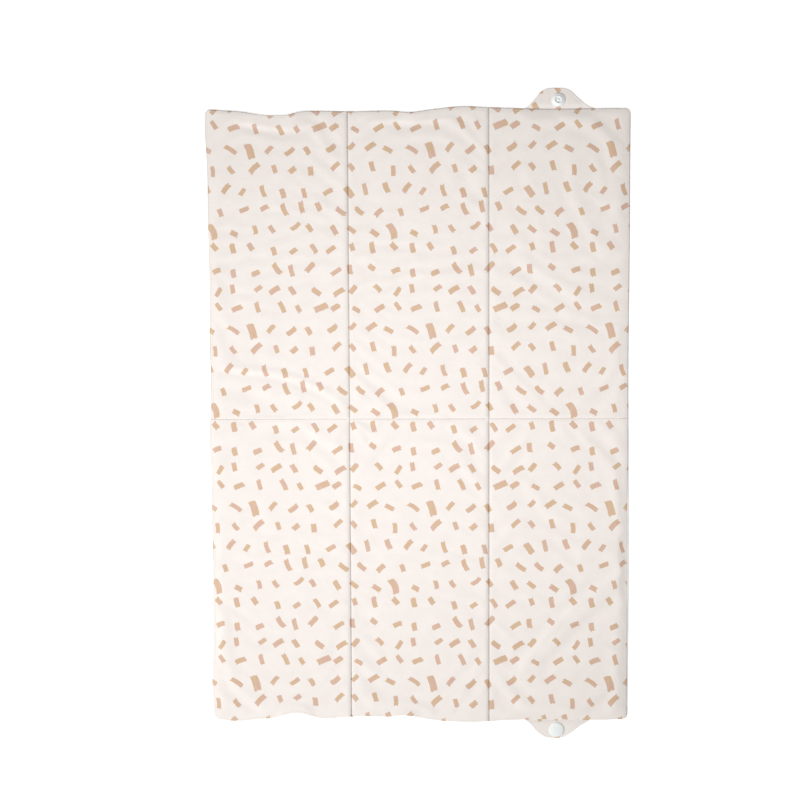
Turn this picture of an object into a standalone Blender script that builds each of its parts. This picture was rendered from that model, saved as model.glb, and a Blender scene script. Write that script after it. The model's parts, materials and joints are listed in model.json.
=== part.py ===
"""Folding travel changing mat.

Six padded panels in three columns and two rows, joined at two vertical fold seams and one
horizontal one. A tab on the upper and on the lower end of the right column closes the folded
mat with a plastic snap. The mat lies open, front side up: X is its width, Y its length, Z is up,
and the origin is at the middle of its underside.
"""
import math

import bmesh
import bpy

# Driving dimensions, in metres.
PAD_WIDTH = 0.410
PAD_LENGTH = 0.600
THICKNESS = 0.0042
FABRIC = 0.0003
CLEARANCE = 0.00025
FOLD_MARGIN = 0.0005
CORNER_RADIUS = 0.005
SMALLEST_CORNER = 0.0008
CORNER_POINTS = 5
HEM_WIDTH = 0.0025
SLOPE_WIDTH = 0.0050
WADDING_BOTTOM_INSET = 0.0034
WADDING_TOP_INSET = 0.0080

THREAD_RADIUS = 0.0002
FOLD_STITCH_OFFSET = 0.0008
EDGE_STITCH_OFFSET = 0.0014
THREAD_END = 0.0022
THREAD_BEVEL_RESOLUTION = 2

TAB_CENTRE_X = 0.1350
TAB_HALF_WIDTH = 0.034
TAB_SHOULDER = 0.026
TAB_REACH = 0.020
TAB_MIN_REACH = 0.0006
TAB_PLY = 0.00025
TAB_PLY_GAP = 0.00010
TAB_HINGE_GAP = 0.0006
TAB_ROOT_GAP = 0.0003
TAB_ROOT_HEIGHT = 0.0014
TAB_COLUMNS = 16
TAB_ROWS = 9
TAB_ROW_GROWTH = 1.8

UPPER_SNAP_REACH = 0.0088
UPPER_TAB_HEIGHT = 0.00171
UPPER_RISE = 0.0010
LOWER_SNAP_REACH = 0.0112
LOWER_TAB_HEIGHT = 0.00281
LOWER_RISE = 0.0034

CAP_RADIUS = 0.0071
CAP_HEIGHT = 0.0011
CAP_RIM = 0.0004
SNAP_RADIUS = 0.0062
SNAP_GAP = 0.0001
POST_RADIUS = 0.0011
POST_HOLE_RADIUS = 0.00135
POST_HEAD_RADIUS = 0.0018
POST_HEAD_HEIGHT = 0.0004
SNAP_PLATE = 0.0005
SOCKET_HEIGHT = 0.0019
SOCKET_CAVITY_RADIUS = 0.0030
STUD_PLATE = 0.0008
STUD_KNOB_RADIUS = 0.0027
STUD_HEIGHT = 0.0022
STUD_CAVITY_RADIUS = 0.0021
POST_HEAD_TAPER = 0.7
SOCKET_LIP_INSET = 0.0020
SOCKET_SHOULDER_INSET = 0.0008
SOCKET_SHOULDER_DROP = 0.0006
SOCKET_RIM_HEIGHT = 0.0008
SOCKET_DRAFT = 0.0002
KNOB_CHAMFER = 0.0003
KNOB_BULGE_DROP = 0.0005
KNOB_UNDERCUT = 0.0002
KNOB_DRAFT = 0.0001
PLATE_CHAMFER = 0.0003
DOME_POINTS = 6
HOLE_SEGMENTS = 16
TURN_STEPS = 24
TURN_MERGE = 0.00001

# Sizes that follow from them.
PANEL_WIDTH = PAD_WIDTH / 3
HALF_WIDTH = PAD_WIDTH / 2
HALF_LENGTH = PAD_LENGTH / 2
FOLD_X = PANEL_WIDTH / 2
COVER_UNDERSIDE = FABRIC + CLEARANCE
COVER_TOP_UNDERSIDE = THICKNESS - FABRIC
WADDING_TOP = COVER_TOP_UNDERSIDE - CLEARANCE
THREAD_HEIGHT = COVER_UNDERSIDE + FABRIC + CLEARANCE + THREAD_RADIUS
TAB_LAYERS = 3 * TAB_PLY + 2 * TAB_PLY_GAP
HOLE_CUTTER_DEPTH = 4 * TAB_LAYERS
TAB_LAST_ROW_INSET = TAB_MIN_REACH / 2

# Colour and roughness of each material.
MATERIALS = {
    "cover": ("printed_cover_fabric", (0.86, 0.80, 0.75), 0.60),
    "backing": ("plain_back_fabric", (0.88, 0.84, 0.80), 0.70),
    "wadding": ("polyester_wadding", (0.90, 0.90, 0.89), 0.95),
    "interlining": ("tab_interlining_felt", (0.85, 0.85, 0.84), 0.90),
    "thread": ("sewing_thread", (0.88, 0.85, 0.82), 0.55),
    "snap": ("white_snap_plastic", (0.82, 0.86, 0.85), 0.30),
}

COLUMNS = {
    "left": (-HALF_WIDTH, -FOLD_X),
    "middle": (-FOLD_X, FOLD_X),
    "right": (FOLD_X, HALF_WIDTH),
}
ROWS = {
    "upper": (0.0, HALF_LENGTH),
    "lower": (-HALF_LENGTH, 0.0),
}


def clear_scene():
    for scene_object in list(bpy.data.objects):
        bpy.data.objects.remove(scene_object, do_unlink=True)


def make_collection(name):
    collection = bpy.data.collections.new(name)
    bpy.context.scene.collection.children.link(collection)
    return collection


def make_material(name, colour, roughness, metallic=0.0):
    material = bpy.data.materials.new(name)
    material.use_nodes = True
    shader = material.node_tree.nodes["Principled BSDF"]
    shader.inputs["Base Color"].default_value = (*colour, 1.0)
    shader.inputs["Roughness"].default_value = roughness
    shader.inputs["Metallic"].default_value = metallic
    return material


def link_object(name, data, collection, material=None, smooth=False):
    new_object = bpy.data.objects.new(name, data)
    collection.objects.link(new_object)
    if material is not None:
        new_object.data.materials.append(material)
    if smooth:
        new_object.data.shade_smooth()
        new_object.data.set_sharp_from_angle(angle=math.radians(40))
    return new_object


def mesh_from_bmesh(name, shape):
    bmesh.ops.recalc_face_normals(shape, faces=shape.faces)
    mesh = bpy.data.meshes.new(name)
    shape.to_mesh(mesh)
    shape.free()
    return mesh


def smoothstep(value):
    limited = min(max(value, 0.0), 1.0)
    return limited * limited * (3.0 - 2.0 * limited)


# ---------------------------------------------------------------- panels

def panel_limits(column, row):
    """The panel's sides, drawn in by the fold margin where it meets another panel."""
    x_low, x_high = COLUMNS[column]
    y_low, y_high = ROWS[row]
    if column != "left":
        x_low += FOLD_MARGIN
    if column != "right":
        x_high -= FOLD_MARGIN
    if row == "upper":
        y_low += FOLD_MARGIN
    else:
        y_high -= FOLD_MARGIN
    return x_low, x_high, y_low, y_high


def outer_corner(column, row):
    """Signs of the mat's own corner on this panel, or None on a middle panel."""
    if column == "middle":
        return None
    x_sign = -1 if column == "left" else 1
    y_sign = 1 if row == "upper" else -1
    return x_sign, y_sign


def panel_outline(column, row, inset):
    """Anticlockwise outline of a panel, drawn in by inset, with the mat's corner rounded."""
    x_low, x_high, y_low, y_high = panel_limits(column, row)
    x_low += inset
    x_high -= inset
    y_low += inset
    y_high -= inset
    radius = max(CORNER_RADIUS - inset, SMALLEST_CORNER)
    rounded = outer_corner(column, row)
    points = []
    for x_sign, y_sign, start in ((1, -1, -90), (1, 1, 0), (-1, 1, 90), (-1, -1, 180)):
        x = x_high if x_sign > 0 else x_low
        y = y_high if y_sign > 0 else y_low
        if rounded != (x_sign, y_sign):
            points.append((x, y))
            continue
        for step in range(CORNER_POINTS):
            angle = math.radians(start + 90 * step / (CORNER_POINTS - 1))
            centre_x = x - x_sign * radius
            centre_y = y - y_sign * radius
            points.append((centre_x + radius * math.cos(angle), centre_y + radius * math.sin(angle)))
    return points


def ring_of_vertices(shape, outline, height):
    return [shape.verts.new((x, y, height)) for x, y in outline]


def bridge_rings(shape, first, second):
    count = len(first)
    for index in range(count):
        after = (index + 1) % count
        shape.faces.new((first[index], first[after], second[after], second[index]))


def make_front_cover(column, row, collection, material):
    """Fabric shell: a flat hem round the panel, a slope and the raised top sheet."""
    shape = bmesh.new()
    edge = ring_of_vertices(shape, panel_outline(column, row, 0.0), COVER_UNDERSIDE)
    hem = ring_of_vertices(shape, panel_outline(column, row, HEM_WIDTH), COVER_UNDERSIDE)
    top_outline = panel_outline(column, row, HEM_WIDTH + SLOPE_WIDTH)
    top = ring_of_vertices(shape, top_outline, COVER_TOP_UNDERSIDE)
    bridge_rings(shape, edge, hem)
    bridge_rings(shape, hem, top)
    shape.faces.new(top)
    name = f"front_cover_{column}_{row}"
    cover = link_object(name, mesh_from_bmesh(name, shape), collection, material)
    solidify = cover.modifiers.new("fabric", "SOLIDIFY")
    solidify.thickness = FABRIC
    solidify.offset = 1.0
    return cover


def make_wadding(column, row, collection, material):
    """Closed pad with sloping sides, clear of both covers."""
    shape = bmesh.new()
    bottom_outline = panel_outline(column, row, WADDING_BOTTOM_INSET)
    top_outline = panel_outline(column, row, WADDING_TOP_INSET)
    bottom = ring_of_vertices(shape, bottom_outline, COVER_UNDERSIDE)
    top = ring_of_vertices(shape, top_outline, WADDING_TOP)
    bridge_rings(shape, bottom, top)
    shape.faces.new(top)
    shape.faces.new(list(reversed(bottom)))
    name = f"wadding_{column}_{row}"
    return link_object(name, mesh_from_bmesh(name, shape), collection, material)


def make_back_cover(column, row, collection, material):
    """Flat fabric sheet on the floor side."""
    shape = bmesh.new()
    shape.faces.new(ring_of_vertices(shape, panel_outline(column, row, 0.0), 0.0))
    name = f"back_cover_{column}_{row}"
    cover = link_object(name, mesh_from_bmesh(name, shape), collection, material)
    solidify = cover.modifiers.new("fabric", "SOLIDIFY")
    solidify.thickness = FABRIC
    solidify.offset = 1.0
    return cover


# ---------------------------------------------------------------- thread

def make_thread(name, points, collection, material):
    """A run of stitching as one closed thread along its points."""
    curve = bpy.data.curves.new(name, "CURVE")
    curve.dimensions = "3D"
    curve.bevel_depth = THREAD_RADIUS
    curve.bevel_resolution = THREAD_BEVEL_RESOLUTION
    curve.use_fill_caps = True
    spline = curve.splines.new("POLY")
    spline.points.add(len(points) - 1)
    for spline_point, (x, y) in zip(spline.points, points):
        spline_point.co = (x, y, THREAD_HEIGHT, 1.0)
    return link_object(name, curve, collection, material)


def make_fold_threads(collection, material):
    """A run beside each vertical seam in each row, and one below the horizontal seam in each column."""
    for row, (y_low, y_high) in ROWS.items():
        outer_y = HALF_LENGTH - THREAD_END
        inner_y = THREAD_END
        ends = (inner_y, outer_y) if row == "upper" else (-outer_y, -inner_y)
        for side, x_sign in (("left", -1), ("right", 1)):
            x = x_sign * (FOLD_X - FOLD_STITCH_OFFSET)
            points = [(x, ends[0]), (x, ends[1])]
            make_thread(f"fold_thread_{side}_{row}", points, collection, material)
    for column, (x_low, x_high) in COLUMNS.items():
        left_x = x_low + THREAD_END
        right_x = x_high - THREAD_END
        points = [(left_x, -FOLD_STITCH_OFFSET), (right_x, -FOLD_STITCH_OFFSET)]
        make_thread(f"fold_thread_cross_{column}", points, collection, material)


def make_edge_thread(column, row, collection, material):
    """Topstitching just inside the mat's own edge, round the corner on a corner panel."""
    y_sign = 1 if row == "upper" else -1
    edge_y = y_sign * (HALF_LENGTH - EDGE_STITCH_OFFSET)
    x_low, x_high = COLUMNS[column]
    if column == "middle":
        points = [(x_low + THREAD_END, edge_y), (x_high - THREAD_END, edge_y)]
    else:
        x_sign = -1 if column == "left" else 1
        edge_x = x_sign * (HALF_WIDTH - EDGE_STITCH_OFFSET)
        radius = CORNER_RADIUS - EDGE_STITCH_OFFSET
        points = [(x_sign * (FOLD_X + THREAD_END), edge_y)]
        for step in range(CORNER_POINTS):
            angle = math.radians(90 * step / (CORNER_POINTS - 1))
            x = edge_x - x_sign * radius * (1 - math.sin(angle))
            y = edge_y - y_sign * radius * (1 - math.cos(angle))
            points.append((x, y))
        points.append((edge_x, y_sign * (FOLD_STITCH_OFFSET + THREAD_END)))
    make_thread(f"edge_thread_{column}_{row}", points, collection, material)


# ---------------------------------------------------------------- tabs

def tab_reach(offset):
    """How far the tab's rounded outline stands out at this offset from its middle."""
    rise = smoothstep((TAB_HALF_WIDTH - abs(offset)) / TAB_SHOULDER)
    return TAB_MIN_REACH + (TAB_REACH - TAB_MIN_REACH) * rise


def tab_height(reach, level_height, rise_length):
    """Middle of the tab's layers: level at its root, then up to where the snap carries it."""
    start = TAB_HINGE_GAP
    share = smoothstep((reach - start) / rise_length)
    return TAB_ROOT_HEIGHT + (level_height - TAB_ROOT_HEIGHT) * share


def make_tab_ply(name, y_sign, offset_up, level_height, rise_length, snap_reach, holder):
    """One layer of a tab: a grid shaped to the outline, thickened and holed for the post."""
    collection, cutters, material = holder
    shape = bmesh.new()
    bmesh.ops.create_grid(shape, x_segments=TAB_COLUMNS, y_segments=TAB_ROWS, size=1.0)
    for vertex in shape.verts:
        across = vertex.co.x * TAB_HALF_WIDTH
        along = (vertex.co.y + 1.0) / 2.0
        first = TAB_HINGE_GAP + TAB_ROOT_GAP
        reach = first + along ** TAB_ROW_GROWTH * (tab_reach(across) - TAB_LAST_ROW_INSET)
        height = tab_height(reach, level_height, rise_length) + offset_up
        vertex.co = (TAB_CENTRE_X + across, y_sign * (HALF_LENGTH + reach), height)
    ply = link_object(name, mesh_from_bmesh(name, shape), collection, material)
    solidify = ply.modifiers.new("fabric", "SOLIDIFY")
    solidify.thickness = TAB_PLY
    solidify.offset = 0.0
    cutter_shape = bmesh.new()
    bmesh.ops.create_cone(cutter_shape, cap_ends=True, segments=HOLE_SEGMENTS, radius1=POST_HOLE_RADIUS,
                          radius2=POST_HOLE_RADIUS, depth=HOLE_CUTTER_DEPTH)
    cutter = link_object(f"{name}_hole", mesh_from_bmesh(f"{name}_hole", cutter_shape), cutters)
    cutter.location = (TAB_CENTRE_X, y_sign * (HALF_LENGTH + snap_reach), level_height)
    cutter.hide_render = True
    cutter.display_type = "WIRE"
    hole = ply.modifiers.new("post_hole", "BOOLEAN")
    hole.operation = "DIFFERENCE"
    hole.object = cutter
    return ply


def make_tab(row, level_height, rise_length, snap_reach, collection, cutters, materials):
    y_sign = 1 if row == "upper" else -1
    step = TAB_PLY + TAB_PLY_GAP
    layers = (("tab_front_ply", step, "cover"), ("tab_interlining", 0.0, "interlining"),
              ("tab_back_ply", -step, "backing"))
    for layer, offset_up, slot in layers:
        holder = (collection, cutters, materials[slot])
        make_tab_ply(f"{layer}_{row}", y_sign, offset_up, level_height, rise_length, snap_reach, holder)


# ---------------------------------------------------------------- snaps

def make_turned(name, profile, location, flip, collection, material):
    """A turned piece from a closed profile of (radius, height) points."""
    shape = bmesh.new()
    vertices = [shape.verts.new((radius, 0.0, height)) for radius, height in profile]
    closed = profile[0][0] > 0.0
    for first, second in zip(vertices, vertices[1:]):
        shape.edges.new((first, second))
    if closed:
        shape.edges.new((vertices[-1], vertices[0]))
    mesh = bpy.data.meshes.new(name)
    shape.to_mesh(mesh)
    shape.free()
    turned = link_object(name, mesh, collection, material)
    screw = turned.modifiers.new("turn", "SCREW")
    screw.axis = "Z"
    screw.steps = TURN_STEPS
    screw.render_steps = TURN_STEPS
    screw.use_merge_vertices = True
    screw.merge_threshold = TURN_MERGE
    turned.location = location
    if flip:
        turned.rotation_euler = (math.pi, 0.0, 0.0)
    return turned


def dome_points(radius, low, high):
    """Shallow dome from the axis out to its rim."""
    points = []
    for step in range(DOME_POINTS + 1):
        share = step / DOME_POINTS
        points.append((radius * share, low + (high - low) * math.cos(share * math.pi / 2)))
    return points


def make_cap(name, location, flip, plate, collection, material):
    """Domed cap with its post and the post's spread head; the cap's flat side is at height zero."""
    post_end = -(TAB_LAYERS + 2 * SNAP_GAP + plate + SNAP_GAP)
    profile = dome_points(CAP_RADIUS, CAP_RIM, CAP_HEIGHT)
    profile += [
        (CAP_RADIUS, 0.0),
        (POST_RADIUS, 0.0),
        (POST_RADIUS, post_end),
        (POST_HEAD_RADIUS, post_end),
        (POST_HEAD_RADIUS * POST_HEAD_TAPER, post_end - POST_HEAD_HEIGHT),
        (0.0, post_end - POST_HEAD_HEIGHT),
    ]
    make_turned(name, profile, location, flip, collection, material)


def make_socket(name, location, collection, material):
    """Ring with a round cavity; the post holds it through the hole in its plate."""
    profile = [
        (POST_HOLE_RADIUS, SNAP_PLATE),
        (SOCKET_CAVITY_RADIUS + SOCKET_DRAFT, SNAP_PLATE),
        (SOCKET_CAVITY_RADIUS, SOCKET_HEIGHT),
        (SNAP_RADIUS - SOCKET_LIP_INSET, SOCKET_HEIGHT),
        (SNAP_RADIUS - SOCKET_SHOULDER_INSET, SOCKET_HEIGHT - SOCKET_SHOULDER_DROP),
        (SNAP_RADIUS, SOCKET_RIM_HEIGHT),
        (SNAP_RADIUS, 0.0),
        (POST_HOLE_RADIUS, 0.0),
    ]
    make_turned(name, profile, location, False, collection, material)


def make_stud(name, location, collection, material):
    """Plate with a hollow knob, whose cavity clears the post's head; it points down."""
    profile = [
        (POST_HOLE_RADIUS, SNAP_PLATE),
        (STUD_CAVITY_RADIUS, SNAP_PLATE),
        (STUD_CAVITY_RADIUS - KNOB_DRAFT, STUD_HEIGHT),
        (STUD_KNOB_RADIUS - KNOB_CHAMFER, STUD_HEIGHT),
        (STUD_KNOB_RADIUS, STUD_HEIGHT - KNOB_BULGE_DROP),
        (STUD_KNOB_RADIUS - KNOB_UNDERCUT, STUD_PLATE),
        (SNAP_RADIUS - PLATE_CHAMFER, STUD_PLATE),
        (SNAP_RADIUS, STUD_PLATE - PLATE_CHAMFER),
        (SNAP_RADIUS, 0.0),
        (POST_HOLE_RADIUS, 0.0),
    ]
    make_turned(name, profile, location, True, collection, material)


def make_snaps(collection, material):
    stack = TAB_LAYERS / 2 + SNAP_GAP
    upper_y = HALF_LENGTH + UPPER_SNAP_REACH
    upper_front = (TAB_CENTRE_X, upper_y, UPPER_TAB_HEIGHT + stack)
    upper_back = (TAB_CENTRE_X, upper_y, UPPER_TAB_HEIGHT - stack)
    make_socket("snap_socket", upper_front, collection, material)
    make_cap("snap_cap_upper", upper_back, True, SNAP_PLATE, collection, material)
    lower_y = -(HALF_LENGTH + LOWER_SNAP_REACH)
    lower_front = (TAB_CENTRE_X, lower_y, LOWER_TAB_HEIGHT + stack)
    lower_back = (TAB_CENTRE_X, lower_y, LOWER_TAB_HEIGHT - stack)
    make_cap("snap_cap_lower", lower_front, False, SNAP_PLATE, collection, material)
    make_stud("snap_stud", lower_back, collection, material)


# ---------------------------------------------------------------- assembly

def main():
    clear_scene()
    collection = make_collection("changing_mat")
    cutters = make_collection("cutters")
    materials = {slot: make_material(*look) for slot, look in MATERIALS.items()}
    for column in COLUMNS:
        for row in ROWS:
            make_front_cover(column, row, collection, materials["cover"])
            make_wadding(column, row, collection, materials["wadding"])
            make_back_cover(column, row, collection, materials["backing"])
            make_edge_thread(column, row, collection, materials["thread"])
    make_fold_threads(collection, materials["thread"])
    make_tab("upper", UPPER_TAB_HEIGHT, UPPER_RISE, UPPER_SNAP_REACH, collection, cutters, materials)
    make_tab("lower", LOWER_TAB_HEIGHT, LOWER_RISE, LOWER_SNAP_REACH, collection, cutters, materials)
    make_snaps(collection, materials["snap"])


main()
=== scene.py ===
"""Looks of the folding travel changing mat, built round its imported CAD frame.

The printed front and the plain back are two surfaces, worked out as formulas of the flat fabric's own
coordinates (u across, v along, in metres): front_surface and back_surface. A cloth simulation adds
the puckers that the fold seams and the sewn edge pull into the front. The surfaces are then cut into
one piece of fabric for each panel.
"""
import json
import math

import bpy
import numpy as np
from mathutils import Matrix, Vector


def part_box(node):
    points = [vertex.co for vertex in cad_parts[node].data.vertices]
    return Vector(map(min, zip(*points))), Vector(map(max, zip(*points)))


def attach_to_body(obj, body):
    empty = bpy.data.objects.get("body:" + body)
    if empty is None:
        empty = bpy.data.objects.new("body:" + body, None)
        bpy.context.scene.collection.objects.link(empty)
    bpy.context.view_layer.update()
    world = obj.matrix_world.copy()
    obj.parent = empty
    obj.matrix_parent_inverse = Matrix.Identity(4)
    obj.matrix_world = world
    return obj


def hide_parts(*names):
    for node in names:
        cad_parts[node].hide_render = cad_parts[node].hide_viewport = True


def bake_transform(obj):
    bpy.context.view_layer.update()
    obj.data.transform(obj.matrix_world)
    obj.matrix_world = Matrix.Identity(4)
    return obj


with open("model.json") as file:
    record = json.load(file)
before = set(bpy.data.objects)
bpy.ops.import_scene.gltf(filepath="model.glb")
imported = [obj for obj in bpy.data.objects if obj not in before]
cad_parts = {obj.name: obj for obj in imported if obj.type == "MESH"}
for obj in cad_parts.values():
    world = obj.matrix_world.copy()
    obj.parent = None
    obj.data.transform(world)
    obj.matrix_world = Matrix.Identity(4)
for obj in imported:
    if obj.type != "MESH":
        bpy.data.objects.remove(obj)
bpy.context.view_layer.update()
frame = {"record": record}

MM = 0.001

# ---------------------------------------------------------------- sizes from the frame

joints = {joint["name"]: joint for joint in frame["record"]["behaviour"]["joints"]}
cover_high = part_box("front_cover_right_upper")[1]
HALF_WIDTH = cover_high[0]
HALF_LENGTH = cover_high[1]
PANEL_TOP = cover_high[2]
FOLD_X = joints["fold_right"]["pos_m"][0]
TAB_X = joints["bend_upper_tab"]["pos_m"][0]

# ---------------------------------------------------------------- sizes of the fabric shapes

TOP_HEIGHT = PANEL_TOP - 0.50 * MM
TOP_LIMIT = PANEL_TOP - 0.03 * MM
PLY = 0.28 * MM
BOTH_COVERS = 2.2
SEAM_PLIES = 0.25 * MM
PINCHED_SHARE = 0.46
FOLD_SEAM_HEIGHT = 1.65 * MM
CROSS_SEAM_HEIGHT = 2.75 * MM
CROSSING_WIDTH = 2.2 * MM
BACK_CHANNEL = 5.5 * MM
CHANNEL_POWER = 2.2
EDGE_MIDDLE = 0.85 * MM
BACK_EDGE_RADIUS = 0.85 * MM
BACK_EDGE_HEIGHT = EDGE_MIDDLE - 0.06 * MM
SIDE_TURN = 1.5 * MM
SIDE_SHOULDER = 2.85 * MM
SIDE_SLOPE = 15.0 * MM
END_TURN = 1.3 * MM
END_SHOULDER = 3.15 * MM
END_SLOPE = 9.0 * MM
RIGHT_SHOULDER_DROP = 0.38 * MM
TAB_PULL_HALF = 48.0 * MM
TAB_PULL_FADE = 26.0 * MM
TAB_EDGE_BASE = 1.30 * MM
TAB_SHOULDER = 2.45 * MM
TAB_SLOPE = 12.0 * MM
STITCH_INSET = 2.2 * MM
GROOVE_DEPTH = 0.10 * MM
GROOVE_WIDTH = 0.50 * MM
SEAM_END = 9.0 * MM
CORNER = 6.0 * MM
CUT_BESIDE_FOLD = 4.0 * MM

ROWS = {"lower": -1, "upper": 1}
COLUMNS = {"left": -1, "middle": 0, "right": 1}


def smoothstep(value):
    limited = np.clip(value, 0.0, 1.0)
    return limited * limited * (3.0 - 2.0 * limited)


def bump(distance, width):
    return np.exp(-(distance / width) ** 2)


def soft_min(first, second, width):
    overlap = np.maximum(width - np.abs(first - second), 0.0) / width
    return np.minimum(first, second) - overlap * overlap * width / 4.0


# ---------------------------------------------------------------- grid lines

GRADED_REACH = 9 * MM
GRADED_SAMPLES = 4001


def graded_line(low, high, fine, coarse, reach):
    """Positions from low to high, fine near both ends and coarse between them."""
    samples = np.linspace(low, high, GRADED_SAMPLES)
    distance = np.minimum(samples - low, high - samples)
    spacing = fine + (coarse - fine) * smoothstep(distance / reach)
    count = np.concatenate([[0.0], np.cumsum(np.diff(samples) / ((spacing[1:] + spacing[:-1]) / 2))])
    steps = math.ceil(count[-1])
    return np.interp(np.linspace(0.0, count[-1], steps + 1), count, samples)


def join_lines(*lines):
    joined = lines[0]
    for line in lines[1:]:
        joined = np.concatenate([joined, line[1:]])
    return joined


def snap_line(line, value):
    """Moves the nearest grid line onto value, so that the fabric can be cut there."""
    line[np.argmin(np.abs(line - value))] = value
    return line


def across_lines(fine, coarse):
    ends = (-HALF_WIDTH, -FOLD_X, FOLD_X, HALF_WIDTH)
    panels = [graded_line(low, high, fine, coarse, GRADED_REACH) for low, high in zip(ends, ends[1:])]
    line = join_lines(*panels)
    for side in (-1, 1):
        snap_line(line, side * (FOLD_X - CUT_BESIDE_FOLD))
    return line


def along_lines(fine, coarse):
    lower = graded_line(-HALF_LENGTH, 0.0, fine, coarse, GRADED_REACH)
    upper = graded_line(0.0, HALF_LENGTH, fine, coarse, GRADED_REACH)
    return join_lines(lower, upper)


# ---------------------------------------------------------------- the mat's outline

# Where the sewn top and bottom edges wander: (place along the edge, width, outward shift), in mm.
TOP_WAVES = ((-205, 18, 1.8), (-160, 10, -0.8), (-141, 19, -4.6), (-126, 8, -1.4), (-64, 30, -1.0),
             (-8, 14, -2.0), (44, 26, 3.2), (84, 24, 1.3), (187, 24, 0.6))
BOTTOM_WAVES = ((-182, 22, 3.6), (-146, 14, 1.2), (-124, 19, -5.2), (-98, 15, 1.8), (-62, 24, -1.3),
                (-48, 12, -0.6), (-15, 16, -3.0), (46, 42, 4.2), (100, 26, 0.8), (168, 34, 1.8))
LEFT_WAVES = ((285, 30, 2.6), (215, 40, 1.0), (75, 25, 1.0), (-20, 24, 2.2), (-95, 50, 0.7),
              (-190, 40, 0.9), (-265, 34, 2.8))
RIGHT_WAVES = ((250, 50, -0.3), (60, 90, -0.8), (-180, 120, 0.6))
WAVE_REACH = 55 * MM


def wave_sum(waves, place):
    total = np.zeros_like(place)
    for centre, width, shift in waves:
        total += shift * MM * bump(place - centre * MM, width * MM)
    return total


def edge_distances(u, v):
    """Distances to the left, right, bottom and top edges of the flat fabric."""
    return u + HALF_WIDTH, HALF_WIDTH - u, v + HALF_LENGTH, HALF_LENGTH - v


def edge_distance(u, v):
    return np.minimum.reduce(edge_distances(u, v))


def rounded_corners(u, v):
    """Rounds the mat's corners: the small square at each corner is pressed into a quarter disc."""
    x_over = np.clip((np.abs(u) - (HALF_WIDTH - CORNER)) / CORNER, 0.0, 1.0)
    y_over = np.clip((np.abs(v) - (HALF_LENGTH - CORNER)) / CORNER, 0.0, 1.0)
    x = np.abs(u) - CORNER * x_over * (1.0 - np.sqrt(1.0 - 0.5 * y_over ** 2))
    y = np.abs(v) - CORNER * y_over * (1.0 - np.sqrt(1.0 - 0.5 * x_over ** 2))
    return np.sign(u) * x, np.sign(v) * y


def in_plane(u, v):
    """Flat place of the fabric point: rounded corners, then the wandering edges."""
    x, y = rounded_corners(u, v)
    left, right, bottom, top = edge_distances(u, v)
    y = y + wave_sum(TOP_WAVES, u) * smoothstep(1.0 - top / WAVE_REACH)
    y = y - wave_sum(BOTTOM_WAVES, u) * smoothstep(1.0 - bottom / WAVE_REACH)
    x = x - wave_sum(LEFT_WAVES, v) * smoothstep(1.0 - left / WAVE_REACH)
    x = x + wave_sum(RIGHT_WAVES, v) * smoothstep(1.0 - right / WAVE_REACH)
    return x, y


# The back fabric rolls up over the side edges, most along the lower right side, and not at the corners.
LEFT_ROLL = 0.78
UPPER_RIGHT_ROLL = 0.40
LOWER_RIGHT_ROLL = 1.00
LARGEST_ROLL = 1.05
ROLL_CHANGE_TOP = 10 * MM
ROLL_CHANGE_LENGTH = 70 * MM
FULL_SHARE_FROM = 0.25
ROLL_END_GAP = 5 * MM
ROLL_END_FADE = 10 * MM
ROLL_TAKEN_IN = 25 * MM
FRONT_TAKEN_IN = 12 * MM
ROLL_SQUARENESS = 0.6
ROLL_WIDTH = 0.85 * MM
ROLL_WIDTH_GAIN = 1.75 * MM
ROLL_HEIGHT = 0.80 * MM
ROLL_HEIGHT_GAIN = 0.42 * MM
ROLL_LENGTH = 1.12
ROLL_TURN = 90
ROLL_TURN_GAIN = 75
# Unevenness of the roll along the side: (change, wave length over 2 pi in mm, phase).
ROLL_WAVES = ((0.14, 31, 0.0), (0.08, 12, 2.0))
LEFT_TUCK = 0.62 * MM
RIGHT_TUCK = 0.10 * MM


def side_roll(u, v):
    """How far the back fabric rolls over the side edge here, and the share that the roll has."""
    low = smoothstep((ROLL_CHANGE_TOP - v) / ROLL_CHANGE_LENGTH)
    right = UPPER_RIGHT_ROLL + (LOWER_RIGHT_ROLL - UPPER_RIGHT_ROLL) * low
    uneven = np.ones_like(v)
    for change, length, phase in ROLL_WAVES:
        uneven = uneven + change * np.sin(v / (length * MM) + phase)
    at_ends = smoothstep((HALF_LENGTH - np.abs(v) - ROLL_END_GAP) / ROLL_END_FADE)
    roll = np.clip(np.where(u < 0, LEFT_ROLL, right) * uneven, 0.0, LARGEST_ROLL) * at_ends
    return roll, smoothstep(roll / FULL_SHARE_FROM)


def rolled_side(beside, roll):
    """Section of the roll, a squared elliptical arc: at each distance, the way in and the height."""
    across = ROLL_WIDTH + ROLL_WIDTH_GAIN * roll
    up = ROLL_HEIGHT + ROLL_HEIGHT_GAIN * roll
    turn = np.radians(ROLL_TURN + ROLL_TURN_GAIN * roll)
    length = ROLL_LENGTH * turn * (across + up) / 2
    angle = turn * np.clip(1.0 - beside / length, 0.0, 1.0)
    squared_sine = np.abs(np.sin(angle)) ** ROLL_SQUARENESS
    squared_cosine = np.sign(np.cos(angle)) * np.abs(np.cos(angle)) ** ROLL_SQUARENESS
    on_roll = across * (1.0 - squared_sine)
    beyond = beside - (length - across) * smoothstep(1.0 - (beside - length) / ROLL_TAKEN_IN)
    return np.where(beside < length, on_roll, beyond), up * (1.0 - squared_cosine)


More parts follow.
